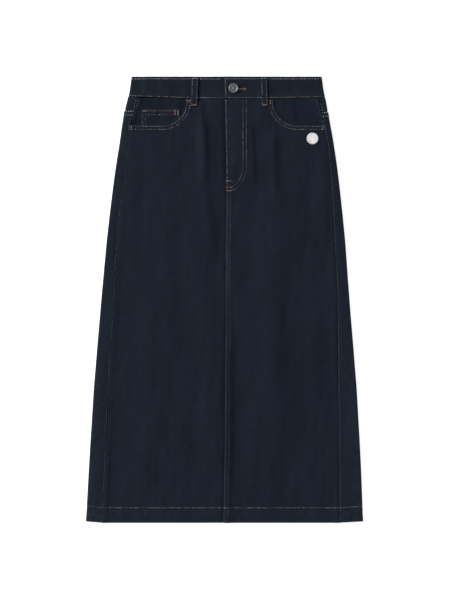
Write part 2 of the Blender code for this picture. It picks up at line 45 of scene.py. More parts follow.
halfLength = 0.402
clothThick = 0.0012
offFloor = 0.00002  # the lowest points stay this far above the surface
noiseSeed = np.random.default_rng(11)

# how the skirt lies: the form of its CAD solids, with a centre seam that wanders a little
form = dict(
    outline=dict(
        drop=(0, 37, 65, 89, 122, 186, 294, 402, 546, 690, 804),
        left=(-168.5, -173.7, -180.6, -184.8, -189.6, -199.3, -211.9, -222.3, -234.0, -243.6, -250.0),
        right=(175.5, 181.3, 186.6, 191.3, 197.1, 206.0, 217.1, 225.5, 236.7, 245.4, 250.0),
        seamInLeft=(19, 18.9, 18, 15.5, 15.3, 17.5, 19.4, 24, 26, 29, 30.4),
        seamInRight=(13.5, 13.5, 12.6, 12.6, 11, 14.2, 18.9, 22, 32, 39, 42.8),
        fold=(8.6, 8.4, 8.0, 7.6, 7.2, 6.8, 6.4, 6.2, 6.2, 6.4, 7.0),
    ),
    levels=dict(
        drop=(0, 40, 72, 95, 150, 205, 290, 400, 735, 772, 804),
        plain=(7.2, 7.5, 7.4, 6.9, 5.6, 4.6, 4.1, 3.9, 3.9, 5.4, 5.8),
        fly=(9.6, 9.2, 8.4, 7.8, 7.0, 6.6, 4.3, 3.9, 3.9, 5.4, 5.8),
    ),
    centre=dict(
        drop=(0, 40, 190, 300, 440, 540, 650, 720, 804),
        x=(-0.6, 0.6, 3.2, 2.4, 2.6, 1.1, 0.7, -0.6, -2.2),
    ),
    # big soft folds: xTop, dropTop, xBottom, dropBottom, height, reach
    folds=(
        (-62, 150, -40, 520, 1.7, 34),
        (-36, 95, -12, 300, -0.9, 22),
        (76, 120, 88, 760, 1.6, 30),
        (104, 130, 118, 700, -0.9, 24),
        (-118, 300, -128, 760, 1.3, 40),
        (160, 330, 176, 740, 1.0, 28),
    ),
    edgeReach=0.045,
    overFly=dict(middle=0.018, half=0.024, reach=0.046),
    # how far the front that goes under is stepped down, beside the fly and below it
    step=dict(beside=0.0010, below=0.0005, reach=0.040, flyEnd=0.205, fade=0.1025),
    length=0.804,
    waistLine=dict(drop=0.040, riseLeft=0.004, riseRight=0.002),
    backLoopX=(-0.092, 0.0036, 0.099),
    backLift=dict(height=0.0016, half=0.011, reach=0.042, end=0.054, fade=0.044),
)


def mix(a, b, t):
    return a + (b - a) * t


def smooth(t):
    t = np.clip(t, 0.0, 1.0)
    return t * t * (3 - 2 * t)


def readTable(table, column, drop):
    # a smooth curve through the table's rows
    d = np.array(table["drop"]) * mm
    v = np.array(table[column]) * mm
    before = np.maximum(np.arange(len(d)) - 1, 0)
    after = np.minimum(np.arange(len(d)) + 1, len(d) - 1)
    slope = (v[after] - v[before]) / (d[after] - d[before])
    drop = np.clip(drop, d[0], d[-1])
    low = np.clip(np.searchsorted(d, drop, side="right") - 1, 0, len(d) - 2)
    span = d[low + 1] - d[low]
    t = (drop - d[low]) / span
    return (
        v[low] * (2 * t**3 - 3 * t**2 + 1)
        + slope[low] * span * (t**3 - 2 * t**2 + t)
        + v[low + 1] * (3 * t**2 - 2 * t**3)
        + slope[low + 1] * span * (t**3 - t**2)
    )


def centreX(drop):
    return readTable(form["centre"], "x", drop)


def foldRadius(drop):
    return readTable(form["outline"], "fold", drop) / 2


def foldLine(side, drop):
    edge = readTable(form["outline"], "left" if side < 0 else "right", drop)
    return edge - side * foldRadius(drop)


def sideSeam(side, drop):
    if side < 0:
        return readTable(form["outline"], "left", drop) + readTable(form["outline"], "seamInLeft", drop)
    return readTable(form["outline"], "right", drop) - readTable(form["outline"], "seamInRight", drop)


def waistSeam(x):
    # a little higher at the sides
    waist = form["waistLine"]
    left = waist["drop"] - waist["riseLeft"] * (x / foldLine(-1, waist["drop"])) ** 2
    right = waist["drop"] - waist["riseRight"] * (x / foldLine(1, waist["drop"])) ** 2
    return np.where(x < 0, left, right)


def bandBottom(x):
    return waistSeam(x) + 0.0003


def panelTop(x):
    return waistSeam(x) + 0.0004


def foldRelief(x, drop):
    relief = 0.0
    for xTop, dropTop, xBottom, dropBottom, height, reach in form["folds"]:
        along = (drop - dropTop * mm) / ((dropBottom - dropTop) * mm)
        off = np.abs(x - mix(xTop * mm, xBottom * mm, along)) / (reach * mm)
        ends = np.sin(math.pi * np.clip(along, 0, 1))
        relief = relief + height * mm * ends * (1 - smooth(off))
    return relief


def frontFace(x, drop):
    # outer face of the front panels
    fromFold = np.minimum(x - foldLine(-1, drop), foldLine(1, drop) - x)
    atEdge = 1 - smooth(fromFold / form["edgeReach"])
    zone = form["overFly"]
    overFly = 1 - smooth((np.abs(x - zone["middle"]) - zone["half"]) / zone["reach"])
    level = mix(readTable(form["levels"], "plain", drop), readTable(form["levels"], "fly", drop), overFly)
    level = level + foldRelief(x, drop)
    return mix(level, 2 * foldRadius(drop), atEdge)


def lowerFrontFace(x, drop):
    # the front that goes under at the centre, a step lower beside the fly
    step = form["step"]
    off = (centreX(drop) - x) / step["reach"]
    belowFly = smooth((drop - step["flyEnd"]) / step["fade"])
    return frontFace(x, drop) - mix(step["beside"], step["below"], belowFly) * (1 - smooth(off))


def backLift(x, drop):
    # the back belt loops hold the back off the floor
    lift = form["backLift"]
    share = 0.0
    for loopX in form["backLoopX"]:
        share = np.maximum(share, 1 - smooth((np.abs(x - loopX) - lift["half"]) / lift["reach"]))
    return lift["height"] * share * (1 - smooth((drop - lift["end"]) / lift["fade"]))


def stations(*spans):
    # where grid lines stand: each span is start, end and about how far apart, in millimetres
    lines = [spans[0][0] * mm]
    for start, end, step in spans:
        count = max(1, round(abs(end - start) / step))
        lines += [(start + (end - start) * (i + 1) / count) * mm for i in range(count)]
    return np.array(lines)


edgeRings = (0.00035, 0.0006)
mouthCut = dict(step=0.0001, snapped=0.0022, smoothed=0.007, turns=4)


def cutSheet(across, down, place, mouth=None):
    # a flat cut: a grid with lines at the given stations, with a pocket mouth cut out of it, and two
    # narrow rings inset round every edge for its roll
    bm = bmesh.new()
    bmesh.ops.create_grid(bm, x_segments=len(across) - 1, y_segments=len(down) - 1, size=1)
    corners = list(bm.verts)
    i = np.array([round((c.co.x + 1) / 2 * (len(across) - 1)) for c in corners])
    j = np.array([round((1 - c.co.y) / 2 * (len(down) - 1)) for c in corners])
    u, v = place(across[i], down[j])
    for corner, x, drop in zip(corners, u, v):
        corner.co = (x, -drop, 0)
    if mouth:
        cutMouth(bm, mouth)
    cloth = list(bm.faces)
    for width in edgeRings:
        bmesh.ops.inset_region(bm, faces=cloth, thickness=width, use_boundary=True, use_even_offset=True)
    return bm


def asCut(a, v):
    return a, v


def cutMouth(bm, mouth):
    def inside(c):
        return float(mouth(c.x, -c.y))

    gone = [f for f in bm.faces if inside(f.calc_center_median()) > 0]
    bmesh.ops.delete(bm, geom=gone, context="FACES")
    step = mouthCut["step"]
    near = [c for c in bm.verts if abs(inside(c.co)) < mouthCut["smoothed"]]
    for corner in near:
        off = inside(corner.co)
        if corner.is_boundary and abs(off) < mouthCut["snapped"]:
            slope = Vector((
                inside(corner.co + Vector((step, 0, 0))) - off,
                inside(corner.co + Vector((0, step, 0))) - off,
                0,
            ))
            if slope.length > 0:
                corner.co -= slope.normalized() * off
    free = [c for c in near if not c.is_boundary]
    for turn in range(mouthCut["turns"]):
        bmesh.ops.smooth_vert(bm, verts=free, factor=0.5, use_axis_x=True, use_axis_y=True)


def layPiece(name, bm, lay, node, thickness=clothThick, thin=None):
    # puts a flat cut on the form: lay(u, v) gives each point's place and how worn it is there, with painted
    # highlights added to the wear in some places
    mesh = bpy.data.meshes.new(name)
    bm.to_mesh(mesh)
    bm.free()
    count = len(mesh.vertices)
    flat = np.empty(count * 3)
    mesh.vertices.foreach_get("co", flat)
    u, v = flat.reshape(-1, 3)[:, 0], -flat.reshape(-1, 3)[:, 1]
    loops = np.empty(len(mesh.loops), int)
    mesh.loops.foreach_get("vertex_index", loops)
    flatMap = mesh.uv_layers.new(name="flatCut")
    flatMap.data.foreach_set("uv", np.stack([u[loops], -v[loops]], axis=1).ravel())
    area = flatArea(mesh)
    points, wearAndHighlight = lay(u, v)
    mesh.vertices.foreach_set("co", points.ravel())
    mesh.attributes.new("wearAndHighlight", "FLOAT", "POINT").data.foreach_set("value", wearAndHighlight)
    mesh.shade_smooth()
    mesh.update()
    piece = bpy.data.objects.new(name, mesh)
    bpy.context.scene.collection.objects.link(piece)
    wall = piece.modifiers.new("cloth", "SOLIDIFY")
    wall.thickness = thickness
    wall.offset = -1
    wall.use_rim = True
    if thin is not None:
        group = piece.vertex_groups.new(name="thickness")
        share = thin(u, v)
        for level in np.unique(np.round(share, 2)):
            members = np.nonzero(np.round(share, 2) == level)[0].tolist()
            group.add(members, float(level), "REPLACE")
        wall.vertex_group = group.name
    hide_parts(node)
    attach(piece, "root")
    size = (float(u.max() - u.min()), float(v.max() - v.min()))
    flatSizes[name] = (size, area)
    layOf[name] = lay
    return piece


def flatArea(mesh):
    mesh.update()
    areas = np.empty(len(mesh.polygons))
    mesh.polygons.foreach_get("area", areas)
    return float(areas.sum())


flatSizes, layOf = {}, {}


# the cloth's own unevenness: soft waves of many lengths, each with its place, height and direction
waves = dict(count=46, shortest=0.011, longest=0.120, height=0.0014, lengthwise=0.4)
waveLengths = np.exp(noiseSeed.uniform(
    math.log(waves["shortest"]), math.log(waves["longest"]), waves["count"]))
waveAngles = noiseSeed.uniform(0, math.pi, waves["count"])
wavePhases = noiseSeed.uniform(0, 2 * math.pi, waves["count"])


def unevenness(x, drop, strength=1.0):
    relief = 0.0
    for length, angle, phase in zip(waveLengths, waveAngles, wavePhases):
        along = x * math.cos(angle) + waves["lengthwise"] * drop * math.sin(angle)
        relief = relief + waves["height"] * length * np.sin(along * 2 * math.pi / length + phase)
    return strength * relief


# ripples that sewing draws the cloth into along a seam: length, share, turn with the seed, and start
ripples = ((0.0067, 1.0, 1.0, 0.0), (0.0093, 0.8, 2.1, 1.3), (0.0151, 0.9, 3.7, 0.0))


def pucker(along, seed=0.0):
    relief = 0.0
    for length, share, turn, start in ripples:
        relief = relief + share * np.sin(along * 2 * math.pi / length + turn * seed + start)
    return relief


def groove(distance, at, depth=0.00012, reach=0.0009):
    return -depth * np.exp(-(((distance - at) / reach) ** 2))


def ridge(distance, width, height, soft=0.0016, rise=0.0008):
    # cloth lifted by what is folded under it, from a seam to some width away
    return height * smooth(distance / rise) * (1 - smooth((distance - width) / soft))


def sewnBand(distance, along, rows, width, height, seed=0.0, drawn=0.00007):
    # a topstitched seam: a raised band with a groove under each row, drawn up along its length
    relief = ridge(distance, width, height)
    for row in rows:
        relief = relief + groove(distance, row)
    near = np.exp(-np.maximum(distance - width, 0) / 0.005) * smooth(distance / 0.001)
    return relief + drawn * near * pucker(along, seed)


def edgeRoll(distance, depth=0.00045, reach=0.00095):
    return -depth * (1 - np.clip(distance / reach, 0, 1)) ** 2


foldedEdge = dict(depth=0.0008, reach=0.0013)  # the roll of a hem and of the band's top, which are folded


# creases of the front: x and drop of each end, sideways bow, height, and how far each reaches to the
# left and to the right of its crest, in millimetres
frontCreases = (
    # folds hanging from the waistband on both sides of the fly
    (-44, 40, -42, 98, 0, 1.0, 8, 4), (-40, 66, -35, 212, 0, 5.0, 10, 9.5), (-42, 50, -40, 100, 0, 0.7, 3, 4),
    (-35, 84, -34, 150, 0, 0.9, 6, 4), (-37, 175, -21, 365, 2, 2.3, 15, 10),
    (-21, 92, -18, 205, 0, 0.7, 5, 4), (-8, 48, -4, 216, 0, 1.0, 6, 4), (-22, 200, -14, 300, 2, 0.35, 6, 5),
    (47, 76, 50, 205, 1, 3.0, 20, 6), (17, 58, 20, 192, 0, 1.2, 13, 22), (60, 88, 66, 210, 1, 0.4, 8, 6),
    (30, 222, 24, 300, 0, 0.5, 10, 8),
    (87, 88, 90, 225, 0, 3.1, 14, 8), (90, 80, 91, 150, 0, 0.7, 6, 4), (97, 175, 107, 390, 0, 4.0, 28, 24),
    (104, 330, 84, 800, 2, 3.4, 56, 25), (104, 310, 102, 560, 0, 0.9, 9, 14),
    (72, 110, 76, 230, -1, 0.3, 6, 5), (64, 250, 60, 420, 3, 0.3, 12, 10),
    # the sides
    (176, 120, 184, 335, 1, 2.1, 17, 7), (160, 120, 168, 260, -2, 0.3, 9, 8),
    (150, 330, 158, 640, 5, 0.9, 34, 26), (190, 300, 200, 520, -3, 0.5, 14, 9),
    (182, 520, 196, 780, 4, 0.6, 18, 12), (128, 560, 140, 770, 3, 0.5, 20, 15),
    (-104, 60, -116, 350, 0, 2.4, 46, 26), (-130, 290, -138, 795, -4, 2.6, 42, 38),
    (-160, 110, -172, 290, 3, 0.4, 12, 9), (-178, 280, -192, 520, 4, 0.4, 14, 10),
    (-196, 520, -212, 790, -2, 0.6, 14, 8), (-166, 130, -176, 420, 5, 0.35, 10, 10),
    # beside the centre seam, down to the hem
    (-24, 355, -18, 705, 2, 2.0, 38, 18), (-10, 640, -64, 778, 4, 1.5, 18, 15),
    (-56, 560, -8, 590, 5, 0.3, 12, 12), (-96, 470, -108, 610, -3, -0.4, 12, 12),
    (-112, 712, -146, 764, 3, -0.5, 13, 13), (-84, 600, -70, 780, 3, 0.4, 12, 14),
    (42, 420, 52, 700, -3, 0.7, 26, 18), (58, 600, 66, 780, -2, -0.35, 11, 11),
    (20, 470, 30, 690, 4, -0.3, 12, 12),
    # short ones
    (-62, 96, -96, 148, 5, 0.3, 8, 8), (84, 96, 120, 156, -5, 0.25, 8, 8),
    (150, 96, 168, 190, 3, -0.28, 9, 9), (60, 100, 34, 172, -4, -0.28, 6, 6),
    (24, 206, 6, 262, 3, -0.4, 6, 6), (14, 210, 10, 330, -2, 0.25, 6, 6), (-36, 730, -44, 802, 2, 0.35, 9, 9),
    (-110, 745, -116, 802, -1, 0.4, 8, 8), (-190, 742, -186, 802, 2, 0.35, 8, 8),
    (16, 742, 20, 802, 1, 0.4, 8, 8), (84, 748, 90, 802, 2, 0.35, 9, 9),
    (138, 740, 134, 802, -2, -0.35, 8, 8), (-76, 740, -70, 802, 1, -0.35, 7, 7),
    (110, 640, 118, 790, -2, -0.3, 9, 9), (178, 700, 184, 802, 3, -0.35, 8, 8),
)


def creaseRelief(x, drop, lines, fades=(0.22, 0.34)):
    # fades are the shares of a crease's length over which it starts and ends
    relief = 0.0
    for x0, d0, x1, d1, bow, height, left, *right in lines:
        length = math.hypot(x1 - x0, d1 - d0) * mm
        dx, dd = (x1 - x0) * mm / length, (d1 - d0) * mm / length
        along = ((x - x0 * mm) * dx + (drop - d0 * mm) * dd) / length
        ends = smooth(along / fades[0]) * smooth((1 - along) / fades[1])
        off = (x - x0 * mm) * dd - (drop - d0 * mm) * dx - bow * mm * ends
        reach = np.where(off < 0, left, (right or [left])[0]) * mm
        relief = relief + height * mm * ends * np.exp(-((off / reach) ** 2))
    return relief


pocket = dict(mouthLeft=-0.069, mouthRight=0.088, mouthDrop=0.0885, mouthRadius=0.043, under=0.020,
              rows=(0.0020, 0.0073), bandWidth=0.0100,
              bar=dict(drop=0.0925, ends=(0.0884, 0.0966), off=0.0024, width=0.0013),
              # bar tacks at the mouths' top ends: start, end, width
              topBars=(((-0.0690, 0.0440), (-0.0590, 0.0466), 0.0011),
                       ((0.0826, 0.0425), (0.0826, 0.0500), 0.0016)))


def insideMouth(side, x, drop):
    # how far inside the edge of a pocket mouth a point is, negative under the panel
    inner = pocket["mouthLeft"] if side < 0 else pocket["mouthRight"]
    across = side * (inner - x) + pocket["mouthRadius"]
    down = drop - pocket["mouthDrop"] + pocket["mouthRadius"]
    outside = np.hypot(np.maximum(across, 0), np.maximum(down, 0))
    return pocket["mouthRadius"] - outside - np.minimum(np.maximum(across, down), 0)


fly = dict(innerX=0.0333, spacing=0.0063, curveDrop=0.158, curveX=0.0080, depth=0.042, edgeRow=0.0018,
           seamRows=(0.0017, 0.0079), end=0.2057,
           # bar tacks over its foot: start, end, width
           bars=(((0.0020, 0.1885), (0.0118, 0.1885), 0.0018), ((0.0022, 0.2000), (0.0132, 0.2000), 0.0016),
                 ((0.0022, 0.2058), (0.0118, 0.2058), 0.0012)),
           # how deep the seam's two rows sink: above, in and below the stretch where the fold pulls them in
           sinkEnds=(0.2075, 0.50, 0.65), sinks=((0.00004, 0.0, 0.00004), (0.00004, 0.00023, -0.00003)))


def outsideFlyRow(x, drop):
    # distance outside the inner row of the curved stitching
    wide = fly["innerX"] - fly["curveX"]
    a, b = (x - fly["curveX"]) / wide, np.maximum(drop - fly["curveDrop"], 0) / fly["depth"]
    rho = np.hypot(a, b)
    radius = np.where(rho > 1e-6, np.hypot(a * wide, b * fly["depth"]) / np.maximum(rho, 1e-6), wide)
    return np.where(drop < fly["curveDrop"], x - fly["innerX"], (rho - 1) * radius)


frontPanelCloth = dict(
    inner=((0, 14, 1.5), (14, 30, 2.2), (30, 43, 1.4), (43, 61, 2.3), (61, 70, 1.6)),
    outer=((70, 116, 1.6), (116, 159, 2.8), (159, 169, 1.5)),
    down=((40, 52, 1.6), (52, 88.5, 1.75), (88.5, 104, 1.6), (104, 215, 2.3), (215, 768, 3.0),
          (768, 804, 1.5)),
    topRow=0.040, levelFrom=0.062, spreadFrom=0.108, spread=0.6,
    underSide=0.0012, underCentre=0.0032, hem=0.028, hemRow=0.0272, hemThick=0.0024,
)


def frontPlace(side):
    cut = frontPanelCloth
    inner = pocket["mouthLeft"] if side < 0 else pocket["mouthRight"]
    reference, lastStation = 0.070, 0.169

    def place(a, v):
        # rows near the top follow the waist seam's slant, and columns spread below the pocket mouth
        slant = (v - cut["topRow"]) / (cut["levelFrom"] - cut["topRow"])
        top = panelTop(side * (0.002 + a))
        drop = np.where(v < cut["levelFrom"], mix(top, cut["levelFrom"], slant), v)
        start = centreX(drop) + (cut["underCentre"] if side < 0 else 0)
        middle = inner * (1 + cut["spread"] * np.maximum(drop - cut["spreadFrom"], 0))
        end = sideSeam(side, drop) + side * cut["underSide"]
        share = a / reference
        outerShare = (a - reference) / (lastStation - reference)
        u = np.where(a <= reference, mix(start, middle, share), mix(middle, end, outerShare))
        return u, drop

    return place


hemRope = dict(
    height=0.00016, middle=0.017, reach=0.012, drawn=0.00011, row=(0.0003, 0.0010),
    twists=((0.45, 0.0105, 1.0, 1), (0.3, 0.0173, 0.7, 2)),  # slant, length, share, turn with the seed
)


def hemRelief(x, fromHem, seed):
    # a turned hem twists a little, so it ropes at a slant between its stitching and its edge
    cut, rope = frontPanelCloth, hemRope
    inHem = 1 - smooth((fromHem - cut["hem"]) / 0.002)
    twist = 0.0
    for slant, length, share, turn in rope["twists"]:
        twist = twist + share * np.sin((x + slant * fromHem) * 2 * math.pi / length + turn * seed)
    middle = np.exp(-(((fromHem - rope["middle"]) / rope["reach"]) ** 2))
    drawn = rope["drawn"] * np.exp(-np.abs(fromHem - 0.0275) / 0.006) * pucker(x, seed)
    return inHem * rope["height"] * twist * middle + drawn + groove(fromHem, cut["hemRow"], *rope["row"])


def hemWear(fromHem, atEdge):
    # rubbed along its edge, and a little where it ropes
    return atEdge * np.exp(-fromHem / 0.003) + 0.15 * np.exp(-(((fromHem - 0.016) / 0.011) ** 2))


# how far the front's sewn places stand up or sink, and how rubbed they are, with a painted highlight along
# the fly's edge
frontSewn = dict(
    lowFrom=0.50, lowFade=0.22, mouthRise=0.00035, mouthEnd=0.104, topSink=0.0009, sideSink=0.0009,
    sideRise=(0.0004, 0.0011), sideWidth=0.0075, sideSoft=0.0060, underSink=0.0010,
    flyEnd=0.2045, flyRise=0.00030, flyPuckers=0.00030, ladder=0.00034,
    centreWidth=0.0098, centreRise=0.00045, roll=0.0024, rollFrom=0.39, rollFade=0.1,
    edgeWearAndHighlight=(0.10, 0.04), wornPuckers=0.12, wornStrip=0.50, stripFrom=0.205, stripEnd=0.330,
    wornMouth=0.5, wornHem=0.5,
)


def layFront(side):
    cut = frontSewn

    def lay(x, drop):
        face = lowerFrontFace if side < 0 else frontFace
        fromCentre = side * (x - centreX(drop))
        fromSide = side * (sideSeam(side, drop) - x)
        fromTop = drop - waistSeam(x)
        fromHem = form["length"] - drop
        fromMouth = -insideMouth(side, x, drop)
        low = smooth((drop - cut["lowFrom"]) / cut["lowFade"])
        # creases, and the cloth's own unevenness away from its sewn edges
        creases = creaseRelief(x, drop, frontCreases)
        z = face(x, drop) + creases * smooth((fromSide + 0.002) / 0.012)
        fromEdges = np.minimum(fromHem, fromSide + 0.01)
        z = z + unevenness(x + 0.3 * (side < 0), drop, 1.5) * smooth(fromEdges / 0.02)
        # the pocket mouth, turned under and topstitched twice
        mouthHere = (1 - smooth((drop - cut["mouthEnd"]) / 0.003)) * smooth((fromSide + 0.004) / 0.004)
        along = np.where(drop > pocket["mouthDrop"] - pocket["mouthRadius"], x, drop)
        mouthBand = sewnBand(fromMouth, along, pocket["rows"], pocket["bandWidth"], cut["mouthRise"], 0.8)
        z = z + mouthHere * (mouthBand + edgeRoll(fromMouth))
        # the top, held down under the waistband
        z = z - cut["topSink"] * (1 - smooth((fromTop - 0.0004) / 0.0035))
        z = z + 0.00008 * pucker(x, 2.0) * np.exp(-fromTop / 0.006)
        # the side seam, with its allowances folded under this panel
        z = z - cut["sideSink"] * (1 - smooth((fromSide + 0.0004) / 0.0022))
        z = z + ridge(fromSide + 0.002, cut["sideWidth"], mix(*cut["sideRise"], low), cut["sideSoft"])
        z = z + 0.00010 * pucker(drop, 1.1 + side) * np.exp(-np.maximum(fromSide, 0) / 0.008)
        z = z + hemRelief(x, fromHem, 0.6 * side)
        z = z + edgeRoll(fromHem, **foldedEdge)
        belowFly = smooth((drop - cut["flyEnd"]) / 0.006)
        if side > 0:
            # the fly: a doubled layer inside the curved stitching, with a groove under each row
            outside = outsideFlyRow(x, drop)
            overFly = (1 - smooth((outside - fly["spacing"] - 0.0018) / 0.0015)) * (1 - belowFly)
            z = z + cut["flyRise"] * overFly * smooth(fromCentre / 0.001)
            for row in (0, fly["spacing"]):
                z = z + groove(outside, row, 0.00013) * (1 - belowFly)
            z = z + (1 - belowFly) * 0.00007 * pucker(drop, 0.4) * np.exp(-np.abs(outside - 0.003) / 0.006)
            z = z + groove(fromCentre, fly["edgeRow"], 0.00008) * (1 - belowFly)
            # its puckers, and short ones like a ladder's rungs beside the edge
            drawn = np.exp(-np.abs(fromCentre - 0.006) / 0.007) * smooth(outside / -0.004)
            z = z + (1 - belowFly) * cut["flyPuckers"] * drawn * pucker(0.8 * drop + 0.5 * fromCentre, 2.3)
            ladder = np.exp(-(((fromCentre - 0.0050) / 0.0032) ** 2))
            z = z + (1 - belowFly) * cut["ladder"] * ladder * pucker(1.1 * drop - 0.7 * fromCentre, 0.7)
            # the centre seam below it, which stands up in a roll towards the hem
            z = z + belowFly * sewnBand(
                fromCentre, drop, fly["seamRows"], cut["centreWidth"], cut["centreRise"], 1.9)
            roll = smooth(fromCentre / 0.0008) * (1 - smooth((fromCentre - 0.0078) / 0.0115))
            z = z + cut["roll"] * smooth((drop - cut["rollFrom"]) / cut["rollFade"]) * roll
            z = z + edgeRoll(fromCentre, mix(0.00022, 0.00045, belowFly))
            # rubbed along the edge, where a painted highlight of light on its fold is added too, and rubbed
            # over the fly and on the upper part of the seam
            wearAndHighlight = mix(*cut["edgeWearAndHighlight"], belowFly) * np.exp(-fromCentre / 0.0016)
            wearAndHighlight = wearAndHighlight + cut["wornPuckers"] * (1 - belowFly) * drawn
            strip = smooth((fromCentre + 0.0004) / 0.0015) * (1 - smooth((fromCentre - 0.0070) / 0.0030))
            upper = smooth((drop - cut["stripFrom"]) / 0.040) * (1 - smooth((drop - cut["stripEnd"]) / 0.110))
            wearAndHighlight = wearAndHighlight + cut["wornStrip"] * strip * upper
        else:
            # it goes under the other front
            z = z - cut["underSink"] * (1 - smooth((fromCentre + 0.0005) / 0.0060))
            wearAndHighlight = 0.0 * x
        wearAndHighlight = wearAndHighlight + mouthHere * cut["wornMouth"] * np.exp(-np.maximum(fromMouth, 0) / 0.0018)
        wearAndHighlight = wearAndHighlight + hemWear(fromHem, cut["wornHem"])
        points = np.stack([x, halfLength - drop, z], axis=1)
        return points, wearAndHighlight

    return lay


def frontPanel(side):
    name, node = ("frontRightCloth", "front_right") if side < 0 else ("frontLeftCloth", "front_left")
    cut = frontPanelCloth
    across = stations(*cut["inner"], *cut["outer"])
    if side < 0:
        across = across[::-1]
    down = stations(*cut["down"])
    bm = cutSheet(across, down, frontPlace(side), lambda x, drop: insideMouth(side, x, drop))

    def thin(x, drop):
        return np.where(form["length"] - drop < cut["hem"], 1.0, clothThick / cut["hemThick"])

    return layPiece(name, bm, layFront(side), node, thickness=cut["hemThick"], thin=thin)


frontRightCloth = frontPanel(-1)
frontLeftCloth = frontPanel(1)
print("front panels laid")


backCloth = dict(
    centreX=0.0015, seamGap=0.0003, yokeSide={-1: 0.0615, 1: 0.0639}, yokeCentre=0.098, under=0.003,
    yokeRows=(0.0014, 0.0080), centreRows=(0.0016, 0.0079), sideRow=0.0009, hipRow=0.0026,
    hemLift=0.0025, levelsOut=0.8, rows=(0.062, 0.130, 0.768, 0.804),
    wide=0.170, back=((0, 15, 1.6), (15, 150, 4.5), (150, 170, 2.5)),
    turnCount=10, frontCount=16, yokeFrontCount=9,
    down=((62, 80, 1.6), (80, 130, 2.4), (130, 215, 2.8), (215, 768, 3.4), (768, 804, 1.5)),
    yokeTall=0.024, yokeDown=((0, 24, 1.6),),
    # at the side seam and over the fold: how deep its row sinks, and how far its cloth stands up
    sideGroove=0.00022, sideRise=0.00022, sideWidth=0.009, roll=0.0011, rollFrom=0.36, rollFade=0.26,
    yokeRise=0.0004, yokeWidth=0.0098, yokePitch=0.0040, yokeHeavy=1.5,
    # the side fold and the roll beside it are lighter: partly real fading, partly a painted highlight where
    # the key light leaves the slopes dark
    wornSide=0.25, foldFadeAndHighlight=0.22, rollFadeAndHighlight=0.35,
    bar=dict(drop=0.0925, ends=(0.0888, 0.0962), off=0.0012, width=0.0009),
)


# a back piece is measured along the cloth from the outermost line of its side fold, its walk: below 0 to
# the centre back, above 0 to the side seam
def foldTurn(drop):
    return math.pi * foldRadius(drop) / 2


def centreWalk(side, drop):
    flat = np.abs(foldLine(side, drop) - backCloth["centreX"])
    return -(foldTurn(drop) + flat - backCloth["seamGap"] / 2)


def seamWalk(side, drop):
    flat = np.abs(foldLine(side, drop) - sideSeam(side, drop))
    return foldTurn(drop) + flat - backCloth["seamGap"] / 2


def wrapPoint(side, walk, drop):
    # gives x, height and the way out
    radius, turn, line = foldRadius(drop), foldTurn(drop), foldLine(side, drop)
    angle = np.clip(walk / radius, -math.pi / 2, math.pi / 2)
    past = np.maximum(np.abs(walk) - turn, 0)
    x = line + side * (radius * np.cos(angle) - past)
    z = radius * (1 + np.sin(angle))
    z = np.where(walk > turn, frontFace(x, drop), z)
    z = np.where(walk < -turn, backLift(x, drop), z)
    return x, z, side * np.cos(angle), np.sin(angle)


def yokeSeam(side, walk, drop):
    centre, turn = centreWalk(side, drop), foldTurn(drop)
    alongBack = np.clip((walk - centre) / (-turn - centre), 0, 1)
    return mix(backCloth["yokeCentre"], backCloth["yokeSide"][side], alongBack)


def backHemEdge(side, walk, drop):
    turn, seam = foldTurn(drop), seamWalk(side, drop)
    alongFront = np.clip((walk - turn) / (seam - turn), 0, 1)
    return form["length"] - backCloth["hemLift"] * (1 - backCloth["levelsOut"] * alongFront)


def wrapStations(side, frontCount):
    # 0 to 1 on the back, 1 to 2 round the fold, 2 to 3 on the front
    back = stations(*backCloth["back"]) / backCloth["wide"]
    turn = 1 + np.arange(1, backCloth["turnCount"] + 1) / backCloth["turnCount"]
    front = 2 + np.arange(1, frontCount + 1) / frontCount
    across = np.concatenate([back, turn, front])
    return across if side < 0 else across[::-1]


def wrapWalk(side, a, drop):
    centre, turn, seam = centreWalk(side, drop), foldTurn(drop), seamWalk(side, drop)
    walk = np.where(a < 1, mix(centre, -turn, a), mix(-turn, turn, a - 1))
    return np.where(a > 2, mix(turn, seam, a - 2), walk)


# creases of the back: x and drop of each end, sideways bow, height and reach, in millimetres
backCreases = (
    (20, 120, 60, 320, 6, -0.55, 12), (-30, 130, -52, 380, -5, -0.5, 13), (96, 110, 120, 420, 4, -0.55, 14),
    (-110, 130, -128, 460, -4, -0.5, 15), (150, 220, 166, 560, 5, -0.5, 14),
    (-160, 260, -178, 600, -4, -0.55, 15), (40, 400, 52, 760, -5, -0.5, 13),
    (-44, 430, -60, 770, 5, -0.5, 14), (110, 470, 124, 780, 4, -0.55, 15),
    (-118, 500, -132, 785, -4, -0.5, 14), (12, 300, 30, 470, 3, -0.4, 10), (-14, 560, -24, 780, 3, -0.45, 11),
)


